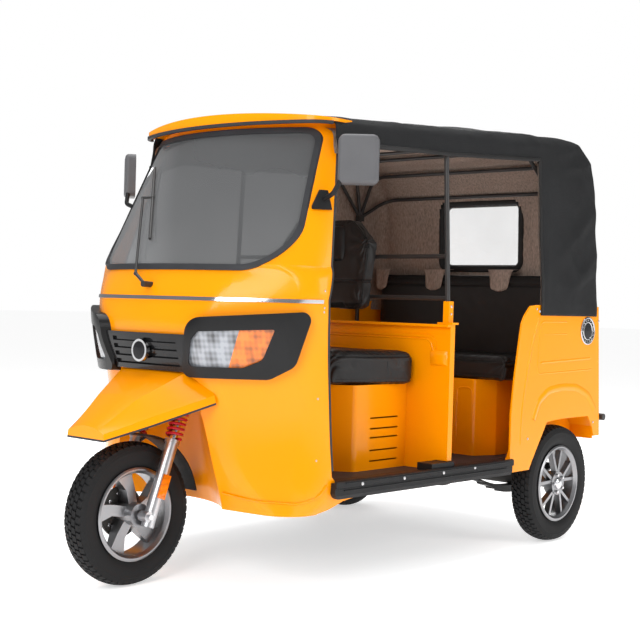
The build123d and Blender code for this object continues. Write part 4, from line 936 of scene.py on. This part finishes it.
# Heads that a ray from the side finds on a node: node, how far back, height and radius.
SIDE_HEADS = (
    ("front_cowl", -0.668, 1.083, 0.004), ("front_cowl", -0.667, 1.023, 0.004),
    ("front_cowl", -0.667, 1.008, 0.004), ("front_cowl", -0.664, 0.700, 0.004),
    ("front_cowl", -0.664, 0.480, 0.004),
    ("door_steps", -0.470, 0.388, 0.007), ("door_steps", -0.233, 0.388, 0.007),
    ("door_steps", 0.007, 0.388, 0.007), ("door_steps", 0.211, 0.392, 0.007),
)


def smooth_path(corners):
    """A path with its corners cut round."""
    path = [Vector(corners[0])]
    for before, corner, after in zip(corners, corners[1:], corners[2:]):
        a, b, c = Vector(before), Vector(corner), Vector(after)
        reach = min(CORNER_REACH, (a - b).length / 2, (c - b).length / 2)
        start, end = b + (a - b).normalized() * reach, b + (c - b).normalized() * reach
        path += [start * (1 - s) ** 2 + b * (2 * s * (1 - s)) + end * s ** 2 for s in stations(0, 1, 0.25)]
    return [*path, Vector(corners[-1])]


def surface_spots(node, rays, reach):
    """Where rays, each a start and a heading, meet a node's surface; those that miss are left out."""
    piece = NODES[node]
    into = piece.matrix_world.inverted()
    spots = []
    for start, heading in rays:
        hit, spot, _, _ = piece.ray_cast(into @ start, (into.to_3x3() @ heading).normalized(), distance=reach)
        if hit:
            spots.append(piece.matrix_world @ spot)
    return spots


def side_spots(node, side, places, z):
    """Points on a node's outer side at a height, one for each place along the vehicle."""
    return surface_spots(node, [(Vector((side * 0.9, y, z)), Vector((-side, 0, 0))) for y in places], 0.35)


def cowl_path(side):
    """The fold above the cowl's lower lip."""
    rays = []
    for turn in stations(COWL_FOLD[0][0], COWL_FOLD[-1][0], 2):
        away = Vector((side * math.sin(math.radians(turn)), -math.cos(math.radians(turn)), 0))
        rays.append((COWL_MIDDLE + Vector((0, 0, between(COWL_FOLD, turn)[0])) + away * 1.2, -away))
    return surface_spots("front_cowl", rays, 1.0)


# ---------------------------------------------------------------- operators
class RICKSHAW_OT_body_panels(bpy.types.Operator):
    """Enamels the nose, wings, seat boxes and rear panels"""

    bl_idname = "rickshaw.body_panels"
    bl_label = "Body panels"

    def execute(self, context):
        paint = enamel("body_enamel", tuple(colours().body))
        dress(paint, "front_cowl", "roof_cap", "wheel_well", "driver_seat_box", "partition", "post_sockets",
              "rear_side_panels", "rear_panel", "wheel_houses", "passenger_seat_box")
        return {"FINISHED"}


class RICKSHAW_OT_trim(bpy.types.Operator):
    """Finishes seals, strips, plastic trim and the grille"""

    bl_idname = "rickshaw.trim"
    bl_label = "Trim"

    def execute(self, context):
        plastic = moulded("trim_plastic", tuple(colours().plastic))
        seal = rubber("seal_rubber", (0.03, 0.031, 0.034), 0.5)
        gloss = enamel("grille_gloss", (0.012, 0.012, 0.013), 0.12)
        bright = metal("bright_trim", (0.8, 0.8, 0.81), 0.12)
        dress(moulded("bezel_plastic", (0.004, 0.004, 0.0045), 0.3, 0.00008), "headlamp_bezels")
        dress(plastic, "door_steps", "dashboard", "mirror_arms", "splash_guard")
        # The mirror heads' grey, far paler than the other plastic trim, is a painted highlight for the light
        # they catch.
        dress(moulded("mirror_plastic_painted_highlight", (0.085, 0.085, 0.09), 0.42), "mirror_heads")
        dress(seal, "windscreen_seal", "visor_lip", "door_edge_trim", "beak_edge_strip", "grips",
              "floor_pan")
        dress(gloss, "grille_panel")
        dress(bright, "chrome_strip", "grille_ring")
        return {"FINISHED"}


class RICKSHAW_OT_glazing(bpy.types.Operator):
    """Glazes the windscreen and the hood's window"""

    bl_idname = "rickshaw.glazing"
    bl_label = "Glazing"

    def execute(self, context):
        dress(glass("windscreen_glass", (0.13, 0.133, 0.137), (0.66, 0.86)), "windscreen")
        dress(glass("window_film", (0.85, 0.88, 0.9), (0.08, 0.12)), "rear_window")
        return {"FINISHED"}


class RICKSHAW_OT_lamps(bpy.types.Operator):
    """Finishes the lamp lenses"""

    bl_idname = "rickshaw.lamps"
    bl_label = "Lamps"

    def execute(self, context):
        dress(lens("headlamp_lens", (0.4, 0.42, 0.46), 24, 0.12), "headlamps")
        dress(lens("indicator_lens", (1.0, 0.22, 0.005), 34, 0.3), "indicators", "fork_reflectors")
        dress(lens("tail_lens", (0.6, 0.01, 0.01)), "tail_lamps")
        return {"FINISHED"}


class RICKSHAW_OT_frame_metal(bpy.types.Operator):
    """Paints the frame, fork and axles"""

    bl_idname = "rickshaw.frame_metal"
    bl_label = "Frame and fork"

    def execute(self, context):
        dress(black_paint("frame_black"), "posts_and_rails", "hood_bows", "hood_posts", "rear_bumper",
              "chassis_rails", "head_tube", "leaf_springs", "steering_stem", "handlebar", "wiper")
        dress(iron("dark_iron"), "engine", "rear_axle")
        dress(metal("fork_alloy", (0.62, 0.62, 0.64), 0.34), "fork_legs")
        dress(metal("bright_steel", (0.72, 0.72, 0.74), 0.14), "fork_sliders", "front_axle")
        dress(enamel("spring_red", (0.5, 0.012, 0.02), 0.3), "fork_springs")
        return {"FINISHED"}


class RICKSHAW_OT_wheels(bpy.types.Operator):
    """Treads the tyres, and adds brake drums, hub caps and wheel nuts to the cast rims"""

    bl_idname = "rickshaw.wheels"
    bl_label = "Wheels"

    def execute(self, context):
        dress(metal("wheel_alloy", (0.36, 0.36, 0.372), 0.32), "front_rim", "rear_rim_left", "rear_rim_right")
        bright = metal("nut_steel", (0.7, 0.7, 0.72), 0.2)
        self.treads()
        self.front_hub(bright)
        for name, side in (("left", 1), ("right", -1)):
            self.rear_hub(bright, name, side)
        return {"FINISHED"}

    def treads(self):
        """A treaded tyre in place of each plain one."""
        tread = rubber("tyre_rubber", tuple(colours().tyre))
        for node, body in (("front_tyre", "front_wheel"), ("rear_tyre_left", "rear_wheel_left"),
                           ("rear_tyre_right", "rear_wheel_right")):
            mesh = tyre_shape().mesh(node + "_tread", 28)
            mesh.transform(Matrix.Translation(middle_of(node)))
            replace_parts(new_object(node + "_tread", mesh, tread, body), node)

    def front_hub(self, bright):
        """The brake drum on the front wheel's right, its ring of studs, and the hub's nuts on both sides."""
        middle = middle_of("front_tyre")
        drum, bolts = Shape(), Shape()
        drum.turned(middle + Vector((-0.031, 0, 0)), (-1, 0, 0), DRUM_OUTLINE, 48)
        for turn in round_turns(10):
            bolts.turned(ring(middle + Vector((-0.0315, 0, 0)), 0.072, turn), (1, 0, 0), STUD_OUTLINE, 12)
        for turn in round_turns(5, 0.5):
            for side in (-1, 1):
                spot = ring(middle + Vector((side * 0.0425, 0, 0)), 0.028, turn)
                bolts.turned(spot, (side, 0, 0), HUB_NUT_OUTLINE, 6)
        new_object("front_brake_drum", drum.mesh("front_brake_drum"), iron("drum_iron"), "front_wheel")
        new_object("front_wheel_bolts", bolts.mesh("front_wheel_bolts"), bright, "front_wheel")

    def rear_hub(self, bright, name, side):
        """The cap and wheel nuts of one rear wheel."""
        hub = middle_of(f"rear_tyre_{name}") + Vector((side * 0.044, 0, 0))
        nuts = Shape()
        nuts.turned(hub, (side, 0, 0), HUB_CAP_OUTLINE, 24)
        for turn in round_turns(5, 0.5):
            nuts.turned(ring(hub, 0.039, turn), (side, 0, 0), WHEEL_NUT_OUTLINE, 6)
        made = f"rear_hub_nuts_{name}"
        new_object(made, nuts.mesh(made), bright, f"rear_wheel_{name}")


class RICKSHAW_OT_details(bpy.types.Operator):
    """Adds pressed beads, the bare side badge, rivets, screws, step ribs and mirror glass"""

    bl_idname = "rickshaw.details"
    bl_label = "Small details"

    def execute(self, context):
        self.beads()
        self.pressings()
        self.badge()
        self.fasteners()
        self.step_ribs()
        self.mirror_glass()
        self.emblem()
        return {"FINISHED"}

    def emblem(self):
        """The bare dark middle of the grille's ring."""
        low, high = extent("grille_ring")
        middle = Vector((0, low.y + 0.0005, (low.z + high.z) / 2))
        radius = (high.z - low.z) / 2
        plate = Shape()
        plate.turned(middle, (0, -1, 0), ((0, radius * 0.8), (0.0012, radius * 0.78), (0.0022, radius * 0.4),
                                          (0.0026, radius * 0.05)), 40)
        new_object("emblem_plate", plate.mesh("emblem_plate"), bpy.data.materials["badge_black"],
                   "body")

    def beads(self):
        """Pressed lines of the rear side panels, as low beads of the same enamel."""
        pressed = Shape()
        for side in (-1, 1):
            for radius, flat, path in PANEL_BEADS:
                pressed.tube([(side * (PANEL_X - 0.001), y, z) for y, z in smooth_path(path)],
                             radius, 8, flat, Vector((side, 0, 0)))
        self.pressed_piece("side_panel_beads", pressed)

    def pressings(self):
        """Low beads that follow the pressings of the partition, the passengers' seat box and the cowl."""
        pressed = Shape()
        for side in (-1, 1):
            for y, path in FRONT_BEADS:
                pressed.tube([(side * x, y, z) for x, z in smooth_path(path)],
                             0.004, 8, 0.5, Vector((0, 1, 0)))
            pressed.add([(side * x, y, z) for x, y, z in WEDGE],
                        [(0, 1, 2, 3), (4, 5, 1, 0), (5, 6, 2, 1), (6, 7, 3, 2), (7, 4, 0, 3)])
            pressed.tube(cowl_path(side), 0.007, 8, 0.6)
        self.pressed_piece("panel_pressings", pressed)

    def pressed_piece(self, name, pressed):
        """A piece in the same enamel as the panels that it belongs to."""
        new_object(name, pressed.mesh(name, 60), bpy.data.materials["body_enamel"], "body")

    def badge(self):
        """A bare round badge: bright rings on a dark plate."""
        bright = metal("badge_rings", (0.75, 0.75, 0.76), 0.2)
        rings, plate = Shape(), Shape()
        for radius, thick in ((BADGE_R, 0.0045), (BADGE_R - 0.020, 0.003)):
            rings.tube([ring(BADGE_MIDDLE + Vector((0.003, 0, 0)), radius, turn) for turn in round_turns(48)],
                       thick, 8, 0.7, Vector((1, 0, 0)), True)
        for turn in round_turns(16):
            rings.turned(ring(BADGE_MIDDLE + Vector((0.002, 0, 0)), BADGE_R - 0.010, turn), (1, 0, 0),
                         ((0, 0.0035), (0.002, 0.0028), (0.0026, 0.001)), 8)
        plate.turned(BADGE_MIDDLE, (1, 0, 0),
                     ((0, BADGE_R), (0.002, BADGE_R), (0.003, 0.03), (0.0036, 0.002)), 48)
        new_object("badge_rings", rings.mesh("badge_rings"), bright, "body")
        new_object("badge_plate", plate.mesh("badge_plate"),
                   enamel("badge_black", (0.012, 0.012, 0.014), 0.2), "body")

    def fasteners(self):
        """Screws of the sockets, rear panels and steps, and rivets of the door edges."""
        steel = metal("fastener_steel", (0.6, 0.6, 0.61), 0.3)
        heads = Shape()
        for side in (-1, 1):
            spots = [((side * x, y, z), radius, SCREW_HEAD) for (x, y, z), radius in SCREWS]
            spots += [(spot, radius, RIVET_HEAD) for node, y, z, radius in SIDE_HEADS
                      for spot in side_spots(node, side, (y,), z)]
            for spot, radius, outline in spots:
                heads.turned(spot, (side, 0, 0), [(out, radius * share) for out, share in outline], 14)
        new_object("fasteners", heads.mesh("fasteners"), steel, "body")

    def step_ribs(self):
        """Two ribs along the face of each step."""
        ribs = Shape()
        low, high = extent("door_steps")
        for share in (0.36, 0.68):
            z = low.z + (high.z - low.z) * share
            for side in (-1, 1):
                ribs.tube(side_spots("door_steps", side, stations(-0.56, 0.44, 0.05), z), 0.0035, 6, 0.8)
        new_object("step_ribs", ribs.mesh("step_ribs"), bpy.data.materials["trim_plastic"], "body")

    def mirror_glass(self):
        """A silvered pane in the back of each mirror head."""
        panes = Shape()
        x, y, z = MIRROR_MIDDLE
        for side in (-1, 1):
            where = Matrix.Translation((side * x, y, z)) @ Matrix.Rotation(side * MIRROR_TOE, 4, "Z")
            rim = [where @ Vector((across, MIRROR_FACE, up))
                   for across, up in rounded_frame(*MIRROR_HALF, 0.02, 0)]
            panes.add(rim, [range(len(rim))])
        new_object("mirror_glass", panes.mesh("mirror_glass"), metal("silvered", (0.85, 0.86, 0.87), 0.02),
                   "body")


class RICKSHAW_OT_seats(bpy.types.Operator):
    """Stuffs the seats and covers them in grained vinyl with piping"""

    bl_idname = "rickshaw.seats"
    bl_label = "Seats"

    def execute(self, context):
        cover = vinyl("seat_vinyl", tuple(colours().vinyl))
        piping = Shape()
        for source, inset, voxel, swell, gathers, grooves in SEATS:
            work = stuffed(source, inset, voxel, swell)
            sew(work, gathers, grooves)
            welt = SEAT_WELTS[source]
            piping.tube(girth(work, *welt, 0.0005), 0.0035, 6, closed=True)
            name = source + "_cover"
            made = new_object(name, cloth_mesh(name, work), cover, "body")
            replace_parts(made, source)
        new_object("seat_piping", piping.mesh("seat_piping", 60),
                   rubber("piping_rubber", (0.012, 0.012, 0.012), 0.4), "body")
        self.headrest(cover)
        self.tabs()
        return {"FINISHED"}

    def headrest(self, cover):
        """A slim pad stitched on the upper front of the driver's backrest."""
        half_w, half_h = HEADREST_HALF
        rows = []
        for v in stations(-1, 1, 0.08):
            row = []
            for u in stations(-1, 1, 0.06):
                bulge = (1 - abs(u) ** 5) ** 0.5 * (1 - abs(v) ** 5) ** 0.5
                corner = 1 - 0.05 * (abs(u) * abs(v)) ** 3
                wrinkle = 0.0015 * math.sin(26 * u + 5 * v) * abs(v) ** 3
                row.append((u * half_w * corner, -0.003 - 0.030 * bulge + wrinkle,
                            HEADREST_Z + v * half_h * corner))
            rows.append(row)
        pad = Shape()
        pad.grid(rows)
        border = rows[0] + [r[-1] for r in rows[1:]] + rows[-1][-2::-1] + [r[0] for r in rows[-2:0:-1]]
        pad.tube([(x, y - 0.001, z) for x, y, z in border], 0.004, 6, upright=Vector((0, 1, 0)), closed=True)
        made = new_object("driver_headrest", pad.mesh("driver_headrest", 60), cover, "body")

    def tabs(self):
        """Lining tabs that hang over the top of the bench's backrest."""
        cloth = woven("tab_lining", tuple(colours().lining))
        for number, (middle, half) in enumerate(TABS):
            rows = []
            for v in stations(0, 1, 0.1):
                tip = math.sqrt(max(1 - (max(v - 0.8, 0) / 0.21) ** 2, 0))
                narrow = half * (1 - 0.35 * v ** 0.5) * tip
                rows.append([(middle + narrow * u, 1.066 + 0.012 * (1 - v) - 0.004 * math.sin(3 * u + number),
                              1.224 - 0.105 * v) for u in stations(-1, 1, 0.2)])
            rows.insert(0, [(middle + half * u, 1.15, 1.2275) for u in stations(-1, 1, 0.2)])
            tab = Shape()
            tab.grid(rows)
            name = f"lining_tab_{number + 1}"
            made = new_object(name, tab.mesh(name, 60), cloth, "body")
            thicken(made, 0.002)


class RICKSHAW_OT_hood(bpy.types.Operator):
    """Stretches the hood cloth over its bows, with a woven lining and bound edges"""

    bl_idname = "rickshaw.hood"
    bl_label = "Hood"

    def execute(self, context):
        outer = HoodForm(CLOTH_ROWS, top_z=1.80, back_y=HOOD_BACK_Y, back_r=0.21, inset=0)
        work, hem = outer.build()
        drape(work, CREASES, 0.0035, sag_between(0.004, 0.07, 0.28))
        edges = [vert.co.copy() for vert in hem]
        cut_window(work, 0.006)
        cloth = coated_cloth("hood_cloth", tuple(colours().hood))
        hood = new_object("hood_cloth", cloth_mesh("hood_cloth", work), cloth, "body")
        thicken(hood, 0.003)
        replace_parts(hood, "hood")

        inner = HoodForm(LINING_ROWS, top_z=1.77, back_y=HOOD_BACK_Y - 0.030, back_r=0.33, inset=0.014)
        work, _ = inner.build()
        drape(work, LINING_CREASES, 0.006, sag_between(0.008, 0.64, 0.22))
        cut_window(work, 0.018)
        weave = woven("hood_lining", tuple(colours().lining))
        lining = new_object("hood_lining", cloth_mesh("hood_lining", work), weave, "body")

        bound = Shape()
        for side in (1, -1):
            bound.tube([(side * p.x, p.y, p.z) for p in edges], 0.009, 8, 0.5, Vector((side, 0, 0)))
        for grow, inwards, radius, flat in ((0.006, 0, 0.013, 0.6), (0.014, 0.030, 0.017, 0.5)):
            path = rounded_frame(WINDOW_HALF[0] + grow, WINDOW_HALF[1] + grow, WINDOW_R, WINDOW_MIDDLE_Z)
            bound.tube([(x, back_face(z) - inwards, z) for x, z in path], radius, 8, flat,
                       Vector((0, 1, 0)), closed=True)
        binding = new_object("hood_binding", bound.mesh("hood_binding"),
                             vinyl("binding_vinyl", tuple(colours().vinyl)), "body")
        return {"FINISHED"}


# ---------------------------------------------------------------- studio
FLOOR_REACH = 60
FLOOR_GLOW = 0.52
WORLD_LIGHT = 0.48
# What rays of a kind see added to the world's light.
WORLD_SHARES = (("Is Camera Ray", 0.52), ("Is Transmission Ray", 0.52), ("Is Glossy Ray", -0.24))
LIT_MIDDLE = Vector((0, 0, 0.9))


def make_floor():
    """A broad pale floor."""
    mesh = bpy.data.meshes.new("studio_floor")
    mesh.from_pydata([(x * FLOOR_REACH, y * FLOOR_REACH, 0) for x, y in ((-1, -1), (1, -1), (1, 1), (-1, 1))],
                     [], [(0, 1, 2, 3)])
    floor = bpy.data.objects.new("studio_floor", mesh)
    bpy.context.scene.collection.objects.link(floor)
    f = Finish("studio_floor")
    f.surface(Base_Color=(0.93, 0.93, 0.93), Roughness=0.85, Emission_Color=(1, 1, 1))
    f.shader.inputs["Specular IOR Level"].default_value = 0.05
    f.shader.inputs["Emission Strength"].default_value = FLOOR_GLOW
    mesh.materials.append(f.material)


def make_world():
    """Even white surroundings: plain white to the eye, softer as light."""
    world = bpy.data.worlds.new("studio")
    bpy.context.scene.world = world
    world.use_nodes = True
    nodes, links = world.node_tree.nodes, world.node_tree.links
    background = nodes["Background"]
    background.inputs["Color"].default_value = (1, 1, 1, 1)
    path = nodes.new("ShaderNodeLightPath")
    level = None
    for ray, share in WORLD_SHARES:
        term = nodes.new("ShaderNodeMath")
        term.operation = "MULTIPLY_ADD"
        links.new(path.outputs[ray], term.inputs[0])
        term.inputs[1].default_value = share
        term.inputs[2].default_value = WORLD_LIGHT
        if level:
            links.new(level, term.inputs[2])
        level = term.outputs[0]
    links.new(level, background.inputs["Strength"])


def place_lamp(name, kind, place, power):
    """A lamp of a kind at a place; its light data is returned with it."""
    lamp = bpy.data.lights.new(name, kind)
    lamp.energy = power
    made = bpy.data.objects.new(name, lamp)
    bpy.context.scene.collection.objects.link(made)
    made.location = place
    return made, lamp


def make_lights():
    """Soft boxes at the nose, over the roof, beside and behind, and two small fills inside."""
    for name, place, size, power in (
        ("key", (2.2, -6.0, 3.6), 3.0, 205),
        ("roof", (-0.5, 0.0, 5.5), 5.0, 270),
        ("side", (6.0, 1.5, 2.6), 3.0, 112),
        ("rear", (-3.5, 5.0, 3.0), 3.0, 130),
    ):
        made, lamp = place_lamp(name, "AREA", place, power)
        lamp.shape = "SQUARE"
        lamp.size = size
        made.rotation_euler = (LIT_MIDDLE - made.location).to_track_quat("-Z", "Y").to_euler()
    for name, place, power in (
        ("cab_fill", (0.25, -0.55, 1.35), 3.0),
        ("bench_fill", (0.35, 0.30, 1.30), 3.5),
    ):
        made, lamp = place_lamp(name, "POINT", place, power)
        lamp.shadow_soft_size = 0.2
        made.visible_camera = made.visible_glossy = False


def make_camera(sizes):
    """A camera that looks at the nose and the vehicle's left side."""
    data = bpy.data.cameras.new("studio_camera")
    data.lens = sizes.lens
    data.sensor_width = 36
    camera = bpy.data.objects.new("studio_camera", data)
    bpy.context.scene.collection.objects.link(camera)
    turn, dip = sizes.camera_turn, sizes.camera_dip
    look = Vector((-math.sin(turn) * math.cos(dip), math.cos(turn) * math.cos(dip), -math.sin(dip)))
    upright = look.to_track_quat("-Z", "Y")
    rolled = upright @ Matrix.Rotation(sizes.camera_roll, 4, "Z").to_quaternion()
    camera.rotation_mode = "QUATERNION"
    camera.rotation_quaternion = rolled
    camera.location = sizes.camera_place
    bpy.context.scene.camera = camera


class RICKSHAW_OT_stage(bpy.types.Operator):
    """Sets the floor, soft light and camera"""

    bl_idname = "rickshaw.stage"
    bl_label = "Studio"

    def execute(self, context):
        make_floor()
        make_world()
        make_lights()
        make_camera(context.scene.rickshaw_stage)
        context.scene.view_settings.view_transform = "Standard"
        return {"FINISHED"}


class RICKSHAW_PT_panel(bpy.types.Panel):
    """Lists the steps that dress the rickshaw"""

    bl_label = "Rickshaw"
    bl_idname = "RICKSHAW_PT_panel"
    bl_space_type = "VIEW_3D"
    bl_region_type = "UI"
    bl_category = "Rickshaw"

    def draw(self, context):
        column = self.layout.column()
        for name in RickshawColours.__annotations__:
            column.prop(context.scene.rickshaw_colours, name)
        for step in STEPS:
            column.operator(step.bl_idname)


STEPS = (
    RICKSHAW_OT_stage,
    RICKSHAW_OT_body_panels,
    RICKSHAW_OT_trim,
    RICKSHAW_OT_glazing,
    RICKSHAW_OT_lamps,
    RICKSHAW_OT_frame_metal,
    RICKSHAW_OT_wheels,
    RICKSHAW_OT_seats,
    RICKSHAW_OT_hood,
    RICKSHAW_OT_details,
)
CLASSES = (RickshawColours, RickshawStage, *STEPS, RICKSHAW_PT_panel)


def register():
    for made in CLASSES:
        bpy.utils.register_class(made)
    bpy.types.Scene.rickshaw_colours = bpy.props.PointerProperty(type=RickshawColours)
    bpy.types.Scene.rickshaw_stage = bpy.props.PointerProperty(type=RickshawStage)


def unregister():
    del bpy.types.Scene.rickshaw_stage
    del bpy.types.Scene.rickshaw_colours
    for made in reversed(CLASSES):
        bpy.utils.unregister_class(made)


def main():
    """Runs every step in order."""
    register()
    for step in STEPS:
        group, name = step.bl_idname.split(".")
        getattr(getattr(bpy.ops, group), name)()
    bpy.context.view_layer.update()


if __name__ == "__main__":
    main()
